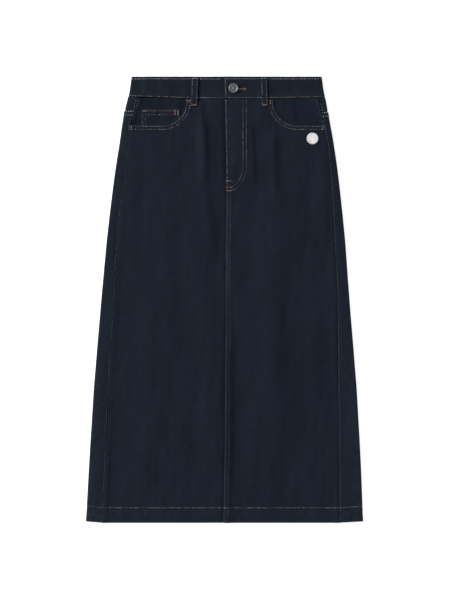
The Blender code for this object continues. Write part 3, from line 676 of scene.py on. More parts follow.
def layWrap(side, extra):
    # lays a back piece; extra(x, walk, drop) gives its own relief outwards, and its wear
    cut = backCloth

    def lay(u, drop):
        walk = -side * u
        turn, seam = foldTurn(drop), seamWalk(side, drop)
        x, z, outX, outZ = wrapPoint(side, walk, drop)
        fromSeam = seam - walk
        onFront = smooth((walk + 0.4 * turn) / turn)
        relief, wearAndHighlight = extra(x, walk, drop)
        relief = relief + onFront * unevenness(u + 0.11, drop, 0.9) * smooth(fromSeam / 0.01)
        nearSeam = np.exp(-np.maximum(fromSeam - 0.002, 0) / 0.006)
        relief = relief + 0.00009 * pucker(drop, 0.9 * side) * nearSeam
        # the side seam, and the roll of the cloth between it and the fold
        relief = relief + groove(fromSeam, cut["sideRow"], cut["sideGroove"]) + edgeRoll(fromSeam, 0.0004)
        relief = relief + cut["sideRise"] * (1 - smooth((fromSeam - cut["sideWidth"]) / 0.002))
        low = mix(0.25, 1, smooth((drop - cut["rollFrom"]) / cut["rollFade"]))
        towardsSeam = smooth(np.clip((walk - turn) / (seam - turn), 0, 1) ** 0.8)
        relief = relief + cut["roll"] * low * towardsSeam * smooth((drop - 0.05) / 0.04)
        # the back lies on the floor, so its relief only goes in
        onBack = 1 - smooth((walk + turn) / (0.3 * turn))
        under = np.minimum(creaseRelief(x, drop, backCreases) + unevenness(u, drop, 0.8) - 0.00018, 0)
        under = under + 2.6 * np.minimum(relief, 0) - 0.00004
        relief = mix(relief, under, onBack)
        wearAndHighlight = wearAndHighlight + cut["wornSide"] * np.exp(-fromSeam / 0.0020)
        # partly real fading and partly a painted highlight, over the side fold and on the roll beside it
        wearAndHighlight = wearAndHighlight + cut["foldFadeAndHighlight"] * np.exp(-np.abs(walk) / 0.0035)
        wearAndHighlight = wearAndHighlight + cut["rollFadeAndHighlight"] * low * onFront * np.exp(-np.abs(walk - turn) / 0.016)
        z = np.maximum(z + outZ * relief, offFloor)
        points = np.stack([x + outX * relief, halfLength - drop, z], axis=1)
        return points, wearAndHighlight

    return lay


def backPanel(side):
    name, node = ("backRightCloth", "back_right") if side < 0 else ("backLeftCloth", "back_left")
    down = stations(*backCloth["down"])
    gap = backCloth["seamGap"]

    def place(a, v):
        seam = mix(backCloth["yokeCentre"], backCloth["yokeSide"][side], np.minimum(a, 1)) + gap
        # rows follow the yoke seam at the top and the hem's edge at the bottom, and are level between
        top, level, low, end = backCloth["rows"]
        drop = np.where(v < level, mix(seam, level, (v - top) / (level - top)), v)
        bottom = form["length"] - backCloth["hemLift"] * (1 - backCloth["levelsOut"] * np.maximum(a - 2, 0))
        drop = np.where(v > low, mix(low, bottom, (v - low) / (end - low)), drop)
        return -side * wrapWalk(side, a, drop), drop

    def extra(x, walk, drop):
        belowYoke = drop - yokeSeam(side, walk, drop)
        fromHem = backHemEdge(side, walk, drop) - drop
        turn = foldTurn(drop)
        raised = backCloth["yokeRise"] * smooth((walk + turn) / turn)
        relief = sewnBand(belowYoke, x + walk, backCloth["yokeRows"], backCloth["yokeWidth"], raised, 1.5)
        relief = relief + edgeRoll(belowYoke) + edgeRoll(fromHem, **foldedEdge)
        relief = relief + hemRelief(walk, fromHem, 1.4 * side)
        fromCentre = walk - centreWalk(side, drop)
        relief = relief + edgeRoll(fromCentre, 0.0004)
        if side > 0:
            for row in backCloth["centreRows"]:
                relief = relief + groove(fromCentre, row)
        return relief, 0.5 * np.exp(-belowYoke / 0.002) + hemWear(fromHem, 0.4)

    bm = cutSheet(wrapStations(side, backCloth["frontCount"]), down, place)

    hem, hemThick = frontPanelCloth["hem"], frontPanelCloth["hemThick"]

    def thin(u, drop):
        return np.where(backHemEdge(side, -side * u, drop) - drop < hem, 1.0, clothThick / hemThick)

    return layPiece(name, bm, layWrap(side, extra), node, thickness=hemThick, thin=thin)


def backYoke(side):
    word = "Right" if side < 0 else "Left"
    node = "back_yoke_right" if side < 0 else "back_yoke_left"
    down = stations(*backCloth["yokeDown"])

    def place(a, v):
        seam = mix(backCloth["yokeCentre"], backCloth["yokeSide"][side], np.minimum(a, 1))
        line = foldLine(side, 0.050)
        x = np.where(a < 1, mix(backCloth["centreX"], line, a), line)
        drop = mix(panelTop(x), seam + backCloth["under"], v / backCloth["yokeTall"])
        return -side * wrapWalk(side, a, drop), drop

    def extra(x, walk, drop):
        aboveSeam = yokeSeam(side, walk, drop) - drop
        fromTop = drop - waistSeam(x)
        relief = -0.0010 * (1 - smooth((aboveSeam + 0.0004) / 0.0045))
        relief = relief - 0.0006 * (1 - smooth((fromTop - 0.0004) / 0.003))
        relief = relief + 0.00008 * pucker(walk, 2.0) * np.exp(-fromTop / 0.006)
        fromCentre = walk - centreWalk(side, drop)
        return relief + edgeRoll(fromCentre, 0.0004), 0.0 * x

    bm = cutSheet(wrapStations(side, backCloth["yokeFrontCount"]), down, place)
    return layPiece("backYoke" + word + "Cloth", bm, layWrap(side, extra), node)


backRightCloth = backPanel(-1)
backLeftCloth = backPanel(1)
backYokeRightCloth = backYoke(-1)
backYokeLeftCloth = backYoke(1)
print("back panels and yokes laid")


coin = dict(left=-0.149, right=-0.080, top=0.0595, bottom=0.1025, margin=0.002, fade=0.012,
            rows=(0.0030, 0.0098), sideRows=(0.0016, 0.0066))


def facingDepth(side, x, drop):
    # how far a pocket facing lies below the front's outer face
    deepest = 0.0016
    if side < 0:
        besideCoin = smooth((x - coin["right"] - coin["margin"]) / coin["fade"])
        aboveCoin = smooth((coin["top"] - coin["margin"] - drop) / coin["fade"])
        deepest = deepest + 0.0016 * (1 - np.maximum(besideCoin, aboveCoin))
    near = 1 - smooth((insideMouth(side, x, drop) - 0.004) / 0.014)
    return deepest * mix(0.34, 1, near)


facingCreases = {
    -1: ((-122, 41, -60, 51, -1, -0.6, 2.4, 2.0), (-100, 56, -92, 92, 0, 0.4, 8, 5),
         (-84, 50, -78, 86, 1, 0.5, 6, 5)),
    1: ((121, 44, 127, 96, 0, 2.0, 10, 6), (146, 44, 152, 92, -1, 0.5, 10, 8),
        (104, 44, 96, 84, 0, 0.35, 6, 6)),
}


facingCloth = dict(wide=0.100, tall=0.070, gridStep=1.8, underSide=0.0010, topSink=0.0004, sideSink=0.0003,
                   sideWidth=0.0040, sideRise=0.0015, sideSoft=0.0085,
                   bulge={-1: (0.0027, -0.0007), 1: (0.0014, 0.0005)})  # under the band, at side and centre


def pocketFacing(side):
    cut = facingCloth
    word = "Right" if side < 0 else "Left"
    node = "pocket_facing_right" if side < 0 else "pocket_facing_left"
    inner = (pocket["mouthLeft"] if side < 0 else pocket["mouthRight"]) - side * pocket["under"]
    face = lowerFrontFace if side < 0 else frontFace
    across = stations((0, cut["wide"] / mm, cut["gridStep"]))
    down = stations((0, cut["tall"] / mm, cut["gridStep"]))

    def place(a, v):
        top = panelTop(side * (0.05 + a))
        drop = mix(top, pocket["mouthDrop"] + pocket["under"], v / cut["tall"])
        edge = sideSeam(side, drop) + side * cut["underSide"]
        share = a / cut["wide"]
        return (mix(inner, edge, share) if side > 0 else mix(edge, inner, share)), drop

    def lay(x, drop):
        fromTop = drop - waistSeam(x)
        fromSide = side * (sideSeam(side, drop) - x)
        z = face(x, drop) - facingDepth(side, x, drop)
        deep = smooth((insideMouth(side, x, drop) - 0.002) / 0.010)
        z = z + deep * unevenness(x + 0.07, drop, 1.8) + deep * creaseRelief(x, drop, facingCreases[side])
        z = z - cut["topSink"] * (1 - smooth((fromTop - 0.0004) / 0.002))
        z = z + 0.00010 * pucker(x, 1.2) * np.exp(-fromTop / 0.005)
        z = z - cut["sideSink"] * (1 - smooth((fromSide + 0.0004) / 0.0020))
        z = z + ridge(fromSide + 0.002, cut["sideWidth"], cut["sideRise"], cut["sideSoft"])
        towardsCentre = smooth((0.118 - np.abs(x)) / 0.05)
        z = z + np.exp(-np.maximum(fromTop, 0) / 0.012) * mix(*cut["bulge"][side], towardsCentre)
        return np.stack([x, halfLength - drop, z], axis=1), 0.0 * x

    bm = cutSheet(across, down, place)
    return layPiece("pocketFacing" + word + "Cloth", bm, lay, node)


def coinPocket():
    def lay(x, drop):
        z = lowerFrontFace(x, drop) - facingDepth(-1, x, drop) + 0.0016
        fromTop, fromLeft, fromRight = drop - coin["top"], x - coin["left"], coin["right"] - x
        z = z + sewnBand(fromTop, x, coin["rows"], 0.0105, 0.00030, 0.7) + edgeRoll(fromTop)
        z = z + edgeRoll(fromLeft) + edgeRoll(fromRight)
        z = z + groove(fromLeft, 0.0018) + groove(fromRight, 0.0018)
        middle = smooth(np.minimum(fromLeft, fromRight) / 0.014) * smooth(fromTop / 0.004)
        z = z + middle * (unevenness(x, drop, 0.8) + 0.00030 * np.sin((x + 0.6 * drop) * 2 * math.pi / 0.034))
        wearAndHighlight = 0.55 * np.exp(-fromTop / 0.0018)
        wearAndHighlight = wearAndHighlight + 0.4 * np.exp(-fromLeft / 0.0016) + 0.4 * np.exp(-fromRight / 0.0016)
        return np.stack([x, halfLength - drop, z], axis=1), wearAndHighlight

    across = stations((coin["left"] / mm, coin["right"] / mm, 1.6))
    down = stations((coin["top"] / mm, coin["bottom"] / mm, 1.6))
    bm = cutSheet(across, down, asCut)
    return layPiece("coinPocketCloth", bm, lay, "coin_pocket")


facingRightCloth = pocketFacing(-1)
facingLeftCloth = pocketFacing(1)
coinPocketCloth = coinPocket()

waistbandCloth = dict(
    proud=0.0008, thick=0.0024, underStep=0.0028, underFrom=-0.006, underReach=0.045, underEnd=0.044,
    level=0.020, topRow=0.0043, bottomRow=0.0016, edgeRow=0.0019,
    slotX=(0.0185, 0.0375), slotDrop=0.0236, slotHalf=0.0005, strand=0.0014, strandOff=0.0007, barHalf=0.0016,
    tall=0.040, down=((0, 22.4, 1.4), (22.4, 23.1, 0.7), (23.1, 24.1, 1.0), (24.1, 40, 1.45)),
    creased=1.5, uneven=2.0, drawn=0.00012, wornTop=0.75, wornSeam=0.4, wornEnd=0.5, lowerHighlight=0.10,
)


def bandTop(onFront):
    # the folded top edge sits a little lower on the front than on the back
    return 0.0007 * onFront


def bandFace(x, drop):
    return frontFace(x, drop) + waistbandCloth["proud"]


def bandUnderFace(x, drop):
    off = (waistbandCloth["underFrom"] - x) / waistbandCloth["underReach"]
    return bandFace(x, drop) - waistbandCloth["underStep"] * (1 - smooth(off))


def bandLengths():
    # how long each stretch of the band is, from the buttonhole end round the back to the underlap
    cut = waistbandCloth
    level = cut["level"]
    radius = foldRadius(level) + cut["proud"] / 2
    left = foldLine(-1, level) + cut["proud"] / 2
    right = foldLine(1, level) - cut["proud"] / 2
    return [float(v) for v in (
        right - centreX(level), math.pi * radius, right - left, math.pi * radius,
        cut["underFrom"] - left, cut["underEnd"] - cut["underFrom"])]


bandRun = np.concatenate([[0.0], np.cumsum(bandLengths())])


def bandPoint(u, drop):
    # x, height, the way out, and 1 on the front or 0 on the back
    cut = waistbandCloth
    part = np.clip(np.searchsorted(bandRun, u, side="right") - 1, 0, 5)
    share = (u - bandRun[part]) / (bandRun[part + 1] - bandRun[part])
    radius = foldRadius(drop) + cut["proud"] / 2
    left = foldLine(-1, drop) + cut["proud"] / 2
    right = foldLine(1, drop) - cut["proud"] / 2
    angle = math.pi * share
    x = np.choose(part, [
        mix(centreX(drop), right, share), right + radius * np.sin(angle), mix(right, left, share),
        left - radius * np.sin(angle), mix(left, cut["underFrom"], share),
        mix(cut["underFrom"], cut["underEnd"], share)])
    z = np.choose(part, [
        bandFace(x, drop), radius * (1 + np.cos(angle)), backLift(x, drop),
        radius * (1 - np.cos(angle)), bandUnderFace(x, drop), bandUnderFace(x, drop)])
    outX = np.choose(part, [0 * x, np.sin(angle), 0 * x, -np.sin(angle), 0 * x, 0 * x])
    outZ = np.choose(part, [1 + 0 * x, np.cos(angle), -1 + 0 * x, -np.cos(angle), 1 + 0 * x, 1 + 0 * x])
    onFront = np.choose(part, [1 + 0 * x, 1 - smooth(share), 0 * x, smooth(share), 1 + 0 * x, 1 + 0 * x])
    return x, z, outX, outZ, onFront


# slanting drag creases of the band near its two ends, as for the front
bandCreases = (
    (-150, 4, -128, 36, 1, 0.34, 5), (-136, 3, -112, 35, -1, -0.30, 5), (-116, 6, -96, 34, 1, 0.26, 5),
    (-92, 4, -84, 36, 1, -0.26, 5), (-74, 2, -66, 38, 0, 0.24, 5), (-40, 4, -30, 36, 1, -0.22, 5),
    (156, 4, 132, 36, -1, 0.34, 5), (140, 3, 118, 35, 1, -0.30, 5), (120, 6, 104, 34, -1, 0.26, 5),
    (98, 3, 92, 37, 0, -0.22, 5), (52, 4, 46, 36, 1, 0.22, 5), (34, 8, 22, 38, 1, -0.18, 5),
    # and long ones that run along it
    (76, 22, 186, 25, 0, -0.85, 6), (96, 11, 150, 15, 1, 0.16, 3),
    (-128, 22, -56, 24, 0, -0.40, 5), (-172, 12, -120, 21, 0, -0.28, 4),
)


def waistband():
    cut = waistbandCloth

    def across():
        ends = bandRun / mm
        return stations(
            (0, 12, 1.5), (12, 45, 1.8), (45, ends[1], 2.2), (ends[1], ends[2], 1.2), (ends[2], ends[3], 3.0),
            (ends[3], ends[4], 1.2), (ends[4], ends[5], 2.2), (ends[5], ends[6], 2.0),
        )

    def place(a, v):
        x, z, outX, outZ, onFront = bandPoint(a, cut["level"])
        return a, mix(bandTop(onFront), bandBottom(x), v / cut["tall"])

    def inSlot(u, drop):
        x = u + float(centreX(cut["slotDrop"]))
        across = min(x - cut["slotX"][0], cut["slotX"][1] - x)
        return min(across, cut["slotHalf"] - abs(drop - cut["slotDrop"]))

    def lay(u, drop):
        x, z, outX, outZ, onFront = bandPoint(u, drop)
        fromTop, fromSeam, fromEnd = drop - bandTop(onFront), bandBottom(x) - drop, u
        relief = cut["creased"] * creaseRelief(x, drop, bandCreases) + unevenness(u, drop, cut["uneven"])
        relief = relief + cut["drawn"] * pucker(u, 0.3) * np.exp(-fromTop / 0.006)
        relief = relief + cut["drawn"] * pucker(u, 1.7) * np.exp(-fromSeam / 0.006)
        rows = groove(fromTop, cut["topRow"]) + groove(fromSeam, cut["bottomRow"])
        rows = rows + groove(fromEnd, cut["edgeRow"])
        relief = relief + edgeRoll(fromTop, **foldedEdge)
        relief = relief + edgeRoll(fromSeam, 0.0006) + edgeRoll(fromEnd, 0.0006)
        # the back's relief only goes in, and the underlap stays clear of the end that lies over it
        relief = mix(np.minimum(relief - 0.0002, 0) + 2 * rows, relief + rows, smooth((outZ + 1) / 0.6))
        relief = np.where(u > bandRun[5] - 0.02, np.minimum(relief, 0.0001), relief)
        wearAndHighlight = cut["wornTop"] * np.exp(-fromTop / 0.0022) + cut["wornSeam"] * np.exp(-fromSeam / 0.0016)
        wearAndHighlight = wearAndHighlight + cut["wornEnd"] * np.exp(-fromEnd / 0.0018)
        # painted highlight: the lower part of the band's front made lighter, as where it turns up to the
        # light
        wearAndHighlight = wearAndHighlight + cut["lowerHighlight"] * onFront * smooth((drop - 0.025) / 0.006)
        z = np.maximum(z + outZ * relief, offFloor)
        points = np.stack([x + outX * relief, halfLength - drop, z], axis=1)
        return points, wearAndHighlight

    bm = cutSheet(across(), stations(*cut["down"]), place)
    slot = [f for f in bm.faces if inSlot(f.calc_center_median().x, -f.calc_center_median().y) > 0]
    bmesh.ops.delete(bm, geom=slot, context="FACES")
    return layPiece("waistbandWrap", bm, lay, "waistband", thickness=cut["thick"])


waistbandWrap = waistband()
print("pockets and waistband laid")

beltLoops = dict(
    width=0.0126, top=0.0010, end=0.0542, thick=0.0015, backThick=0.0012, stand=0.0007,
    front=(("frontRight", "belt_loop_front_right", -0.053, -0.055),
           ("frontLeft", "belt_loop_front_left", 0.0706, 0.0726)),
    back=(("backRight", "belt_loop_back_right"), ("backCentre", "belt_loop_back_centre"),
          ("backLeft", "belt_loop_back_left")),
    rows=(0.0022, 0.0104),
)


def loopFace(middleTop, middleEnd, across, drop):
    cut = beltLoops
    share = (cut["end"] - drop) / (cut["end"] - cut["top"])
    middle = mix(middleEnd, middleTop, share)
    onBand = 1 - smooth((drop - 0.040) / 0.013)
    under = frontFace(middle, drop) + waistbandCloth["proud"] * onBand
    arch = cut["stand"] * np.sin(math.pi * np.clip(share, 0, 1)) ** 0.6
    return middle + across, under + 0.0004 + cut["thick"] + arch


def loopRelief(across, drop, width, seed):
    # two rows of stitching leave three low ridges, and each end is sewn down hard
    fromEdge = width / 2 - np.abs(across)
    relief = edgeRoll(fromEdge, 0.0005) + groove(fromEdge, beltLoops["rows"][0], 0.00030)
    relief = relief + 0.00018 * np.exp(-((across / 0.0022) ** 2)) + 0.00008 * pucker(drop, seed)
    for at in (beltLoops["end"] - 0.0030, beltLoops["top"] + 0.0030):
        relief = relief - 0.00035 * np.exp(-(((drop - at) / 0.0016) ** 2))
    return relief, 0.45 * np.exp(-fromEdge / 0.0014)


def frontLoop(name, node, topX, endX):
    cut = beltLoops

    def lay(u, drop):
        x, z = loopFace(topX, endX, u, drop)
        relief, wearAndHighlight = loopRelief(u, drop, cut["width"], topX * 100)
        return np.stack([x, halfLength - drop, z + relief], axis=1), wearAndHighlight

    half = cut["width"] / 2 / mm
    bm = cutSheet(stations((-half, half, 1.6)), stations((1, cut["end"] / mm, 1.6)), asCut)
    return layPiece(name + "Loop", bm, lay, node, thickness=cut["thick"])


def backLoop(name, node, middle):
    cut = beltLoops

    def lay(u, drop):
        relief, wearAndHighlight = loopRelief(u, drop, cut["width"], middle * 100)
        z = np.maximum(-np.minimum(relief, 0), offFloor)
        return np.stack([middle - u, halfLength - drop, z], axis=1), wearAndHighlight

    half = cut["width"] / 2 / mm
    bm = cutSheet(stations((-half, half, 1.6)), stations((1, cut["end"] / mm, 1.6)), asCut)
    return layPiece(name + "Loop", bm, lay, node, thickness=cut["backThick"])


frontLoops = [frontLoop(*row) for row in beltLoops["front"]]
backLoops = [backLoop(*row, middle) for row, middle in zip(beltLoops["back"], form["backLoopX"])]
print("belt loops laid")

patch = dict(x=0.1584, drop=0.1120, radius=0.0104, thick=0.0010, above=0.0002, segments=80,
             rings=(0.0004, 0.0008, 0.0014, 0.0018, 0.0020, 0.0020), rim=0.0023, strand=0.00042)


def roundPatch():
    cut = patch
    bm = bmesh.new()
    bmesh.ops.create_circle(bm, cap_ends=True, segments=cut["segments"], radius=cut["radius"])
    middle = list(bm.faces)
    for width in cut["rings"]:
        bmesh.ops.inset_region(bm, faces=middle, thickness=width, use_boundary=True, use_even_offset=True)
    bmesh.ops.poke(bm, faces=middle)
    bmesh.ops.translate(bm, verts=bm.verts, vec=(cut["x"], -cut["drop"], 0))
    under = layOf["frontLeftCloth"]

    def lay(x, drop):
        fromMiddle = np.hypot(x - cut["x"], drop - cut["drop"])
        z = under(x, drop)[0][:, 2] + cut["above"] + cut["thick"]
        z = z + 0.0003 * (1 - (fromMiddle / cut["radius"]) ** 2)
        z = z + edgeRoll(cut["radius"] - fromMiddle, 0.0006, 0.0012)
        return np.stack([x, halfLength - drop, z], axis=1), 0.0 * x

    return layPiece("patchCloth", bm, lay, "badge", thickness=cut["thick"])


patchCloth = roundPatch()

zipper = dict(
    tapes=(("zipTapeRight", "zip_tape_right", -0.0090, 0.0036),
           ("zipTapeLeft", "zip_tape_left", 0.0104, 0.0230)),
    top=0.042, bottom=0.188, under=0.0030, tapeThick=0.0009, middle=0.0070,
    pitch=0.0022, tooth=(0.0042, 0.00095, 0.0014), toothAt=0.0009,
    chainTop=0.054, chainBottom=0.184, chainUnder=0.0028,
    sliderTop=0.0425, sliderLong=0.0100, sliderWide=0.0056, plate=0.0006, plateStep=0.0021,
    neck=(0.0016, 0.0040, 0.0020), bail=(0.0018, 0.0048, 0.0006), tab=(0.0042, 0.0190, 0.0007),
)


def zipTape(name, node, near, far):
    cut = zipper

    def place(a, v):
        return centreX(v) + mix(near, far, a / 0.0126), v

    def lay(x, drop):
        ribs = 0.00006 * np.cos((x - centreX(drop)) * 2 * math.pi / 0.0021)
        z = frontFace(x, drop) - cut["under"] + ribs
        return np.stack([x, halfLength - drop, z], axis=1), 0.0 * x

    bm = cutSheet(stations((0, 12.6, 0.7)), stations((cut["top"] / mm, cut["bottom"] / mm, 2.4)), place)
    return layPiece(name, bm, lay, node, thickness=cut["tapeThick"])


def roundedBlock(bm, size, middle, width, segments=2):
    # a block with softened edges, added to a mesh
    made = bmesh.ops.create_cube(bm, size=1)["verts"]
    bmesh.ops.scale(bm, verts=made, vec=size)
    bmesh.ops.translate(bm, verts=made, vec=middle)
    edges = list({edge for corner in made for edge in corner.link_edges})
    bmesh.ops.bevel(bm, geom=edges, offset=width, offset_type="OFFSET", affect="EDGES", segments=segments,
                    profile=0.5, material=-1)


def linkPiece(name, bm, node):
    bmesh.ops.recalc_face_normals(bm, faces=bm.faces)
    mesh = bpy.data.meshes.new(name)
    bm.to_mesh(mesh)
    bm.free()
    mesh.shade_smooth()
    piece = bpy.data.objects.new(name, mesh)
    bpy.context.scene.collection.objects.link(piece)
    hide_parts(node)
    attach(piece, "root")
    return piece


def zipChain():
    # two rows of teeth that mesh
    cut = zipper
    tooth = bmesh.new()
    roundedBlock(tooth, cut["tooth"], (0, 0, 0), 0.00022)
    one = bpy.data.meshes.new("tooth")
    tooth.to_mesh(one)
    tooth.free()
    bm = bmesh.new()
    count = int((cut["chainBottom"] - cut["chainTop"]) / cut["pitch"]) * 2
    for turn in range(count):
        first = len(bm.verts)
        bm.from_mesh(one)
        bm.verts.ensure_lookup_table()
        drop = cut["chainTop"] + (turn + 0.5) * cut["pitch"] / 2
        x = float(centreX(drop)) + cut["middle"] + (cut["toothAt"] if turn % 2 else -cut["toothAt"])
        z = float(frontFace(x, drop)) - cut["chainUnder"] - cut["tooth"][2] / 2
        bmesh.ops.translate(bm, verts=bm.verts[first:], vec=(x, halfLength - drop, z))
    bpy.data.meshes.remove(one)
    return linkPiece("zipTeeth", bm, "zip_chain")


def zipSlider():
    # two plates round the chain, joined by a neck, with a bail and a pull tab that hangs down
    cut = zipper
    low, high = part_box("zip_slider")
    long, wide = cut["sliderLong"], cut["sliderWide"]
    x = (low[0] + high[0]) / 2
    y = halfLength - cut["sliderTop"] - long / 2
    bottom = float(frontFace(x, cut["sliderTop"] + long / 2)) - cut["chainUnder"] - cut["plateStep"]
    bm = bmesh.new()
    for level in (0, cut["plateStep"]):
        roundedBlock(bm, (wide, long, cut["plate"]), (x, y, bottom + level + cut["plate"] / 2), 0.00025)
    roundedBlock(bm, cut["neck"], (x, y + long / 2 - 0.0024, bottom + 0.0013), 0.0003)
    tab = cut["tab"]
    roundedBlock(bm, tab, (x, y - long / 2 + 0.002 - tab[1] / 2, bottom - tab[2] / 2), 0.0003)
    roundedBlock(bm, cut["bail"], (x, y - 0.001, bottom - cut["bail"][2] / 2), 0.0002)
    return linkPiece("zipSlider", bm, "zip_slider")


zipTapes = [zipTape(*row) for row in zipper["tapes"]]
zipTeeth = zipChain()
zipPull = zipSlider()

# the button's cap, shank and nail in one turned shape: radius, and height over the band's face, in mm
button = dict(
    x=0.0162, drop=0.0222, steps=64, beads=44, beadAt=(5.25, 3.62), beadSize=0.00034,
    profile=((0, 4.12), (0.9, 4.10), (1.7, 3.98), (2.3, 3.76), (2.7, 3.60), (3.3, 3.56), (4.6, 3.58),
             (5.7, 3.66), (6.15, 3.82), (6.5, 4.12), (6.9, 4.36), (7.4, 4.48), (7.9, 4.42), (8.35, 4.14),
             (8.7, 3.7), (8.85, 3.2), (8.8, 2.6), (8.45, 2.05), (7.9, 1.66), (6.5, 1.48), (2.7, 1.4),
             (2.55, 1.2), (2.5, -2.4), (1.3, -2.6), (1.2, -5.1), (0.9, -5.35), (0, -5.4)),
    # how bright it is rubbed at some radii
    rubbed=((1.6, 0.60), (2.4, 0.32), (4.2, 0.38), (6.2, 0.50), (7.4, 0.72), (8.6, 0.35)),
)


def shankButton():
    bm = bmesh.new()
    corners = [bm.verts.new((radius * mm, 0, height * mm)) for radius, height in button["profile"]]
    rim = [bm.edges.new(pair) for pair in zip(corners, corners[1:])]
    bmesh.ops.spin(bm, geom=corners + rim, cent=(0, 0, 0), axis=(0, 0, 1), angle=2 * math.pi,
                   steps=button["steps"], use_merge=True)
    bmesh.ops.remove_doubles(bm, verts=bm.verts, dist=0.000005)
    bead = bmesh.ops.create_icosphere(bm, subdivisions=1, radius=button["beadSize"])["verts"]
    bmesh.ops.translate(bm, verts=bead, vec=(button["beadAt"][0] * mm, 0, button["beadAt"][1] * mm))
    faces = list({face for corner in bead for face in corner.link_faces})
    lastBead = 2 * math.pi * (1 - 1 / button["beads"])
    bmesh.ops.spin(bm, geom=bead + faces, cent=(0, 0, 0), axis=(0, 0, 1), angle=lastBead,
                   steps=button["beads"] - 1, use_duplicate=True)
    base = float(bandFace(button["x"], button["drop"]))
    bmesh.ops.translate(bm, verts=bm.verts, vec=(button["x"], halfLength - button["drop"], base))
    return linkPiece("shankButton", bm, "button")


buttonTurned = shankButton()
print("patch, zip and button made")


# sewing thread: every stitch is a small grain of it that follows the cloth
thread = dict(pitch=0.0047, length=0.0024, width=0.0010, height=0.00052, lift=0.00012,
              fineWidth=0.00052, fineHeight=0.00034, tackPitch=0.00042, tackWidth=0.00050)
sewn = {}


def onCloth(lay, u, v):
    # places, directions across and down the cloth, and the way out, at points of a flat cut
    step = 0.0002
    here = lay(u, v)[0]
    across = lay(u + step, v)[0] - lay(u - step, v)[0]
    down = lay(u, v + step)[0] - lay(u, v - step)[0]
    out = np.cross(across, -down)
    out /= np.linalg.norm(out, axis=1, keepdims=True)
    return here, across / (2 * step), down / (2 * step), out


def keep(group, piece, u, v, du, dv, length, width, height, sink=0.0):
    lay = layOf[piece.name]
    here, across, down, out = onCloth(lay, u, v)
    along = across * du[:, None] + down * dv[:, None]
    along /= np.linalg.norm(along, axis=1, keepdims=True)
    sizes = np.broadcast_to(np.array([length, width, height]) / 2, here.shape)
    lifted = here + out * (thread["lift"] - sink)
    sizes = sizes * np.where(out[:, 2:] < -0.5, (1, 1, 0.5), (1, 1, 1))  # pressed flat under the skirt
    tilt = np.abs(np.stack([along[:, 2], np.cross(out, along)[:, 2], 1.6 * out[:, 2]], axis=1))
    floorLevel = np.linalg.norm(tilt * sizes, axis=1) + offFloor
    lifted[:, 2] = np.maximum(lifted[:, 2], floorLevel)
    sewn.setdefault(group, []).append((lifted, along, out, sizes))


def sew(group, piece, path, fine=False, sink=0.0, pitch=None, heavy=1.0):
    # a row of stitches along a path of flat points
    path = np.array(path, float)
    here = layOf[piece.name](path[:, 0], path[:, 1])[0]
    run = np.concatenate([[0], np.cumsum(np.linalg.norm(np.diff(here, axis=0), axis=1))])
    count = max(2, int(run[-1] / (pitch or thread["pitch"])))
    at = (np.arange(count) + 0.5) / count * run[-1]
    step = run[-1] / count
    at = at + noiseSeed.uniform(-0.04, 0.04, count) * step
    u, v = np.interp(at, run, path[:, 0]), np.interp(at, run, path[:, 1])
    ahead, behind = np.clip(at + 0.4 * step, 0, run[-1]), np.clip(at - 0.4 * step, 0, run[-1])
    du = np.interp(ahead, run, path[:, 0]) - np.interp(behind, run, path[:, 0])
    dv = np.interp(ahead, run, path[:, 1]) - np.interp(behind, run, path[:, 1])
    width = thread["fineWidth"] if fine else thread["width"] * heavy
    height = thread["fineHeight"] if fine else thread["height"]
    keep(group, piece, u, v, du, dv, step * thread["length"] / thread["pitch"], width, height, sink)


def tack(group, piece, start, end, width):
    # a bar tack: close strands across a short line
    start, end = np.array(start), np.array(end)
    length = np.linalg.norm(end - start)
    count = max(4, int(length / thread["tackPitch"]))
    share = (np.arange(count) + 0.5) / count
    centre = start + (end - start) * share[:, None]
    dx, dy = (end - start) / length
    lean = np.where(np.arange(count) % 2 == 0, 0.16, -0.16)
    du, dv = -dy + lean * dx, dx + lean * dy
    keep(group, piece, centre[:, 0], centre[:, 1], du, dv, width, thread["tackWidth"], thread["tackWidth"])


def threadPiece(name, group):
    rows = sewn[group]
    centre, along, out, sizes = [np.concatenate([row[k] for row in rows]) for k in range(4)]
    side = np.cross(out, along)
    side /= np.linalg.norm(side, axis=1, keepdims=True)
    out = np.cross(along, side)
    grain = bmesh.new()
    bmesh.ops.create_uvsphere(grain, u_segments=6, v_segments=4, radius=1)
    bmesh.ops.rotate(grain, verts=grain.verts, matrix=Matrix.Rotation(math.pi / 2, 3, "Y"))
    one = bpy.data.meshes.new("grain")
    grain.to_mesh(one)
    grain.free()
    shape = np.empty(len(one.vertices) * 3)
    one.vertices.foreach_get("co", shape)
    shape = shape.reshape(-1, 3)
    shape = np.stack([shape[:, 0], shape[:, 1], shape[:, 2] - 0.55 * shape[:, 0] ** 2], axis=1)
    bm = bmesh.new()
    for turn in range(len(centre)):
        bm.from_mesh(one)
    mesh = bpy.data.meshes.new(name)
    bm.to_mesh(mesh)
    bm.free()
    bpy.data.meshes.remove(one)
    local = shape[None, :, :] * sizes[:, None, :]
    points = centre[:, None, :] + local[:, :, :1] * along[:, None, :] + local[:, :, 1:2] * side[:, None, :]
    points = points + local[:, :, 2:] * out[:, None, :]
    mesh.vertices.foreach_set("co", points.ravel())
    tone = np.repeat(noiseSeed.uniform(0, 1, len(centre)) ** 1.5, len(shape))
    mesh.attributes.new("tone", "FLOAT", "POINT").data.foreach_set("value", tone)
    mesh.shade_smooth()
    mesh.update()
    piece = bpy.data.objects.new(name, mesh)
    bpy.context.scene.collection.objects.link(piece)
    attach(piece, "root")
    return piece


def line(start, end, count=60):
    share = np.linspace(0, 1, count)[:, None]
    return np.array(start) + (np.array(end) - np.array(start)) * share


def arc(middle, radii, first, last, count=40):
    angle = np.radians(np.linspace(first, last, count))
    return np.stack([middle[0] + radii[0] * np.cos(angle), middle[1] + radii[1] * np.sin(angle)], axis=1)


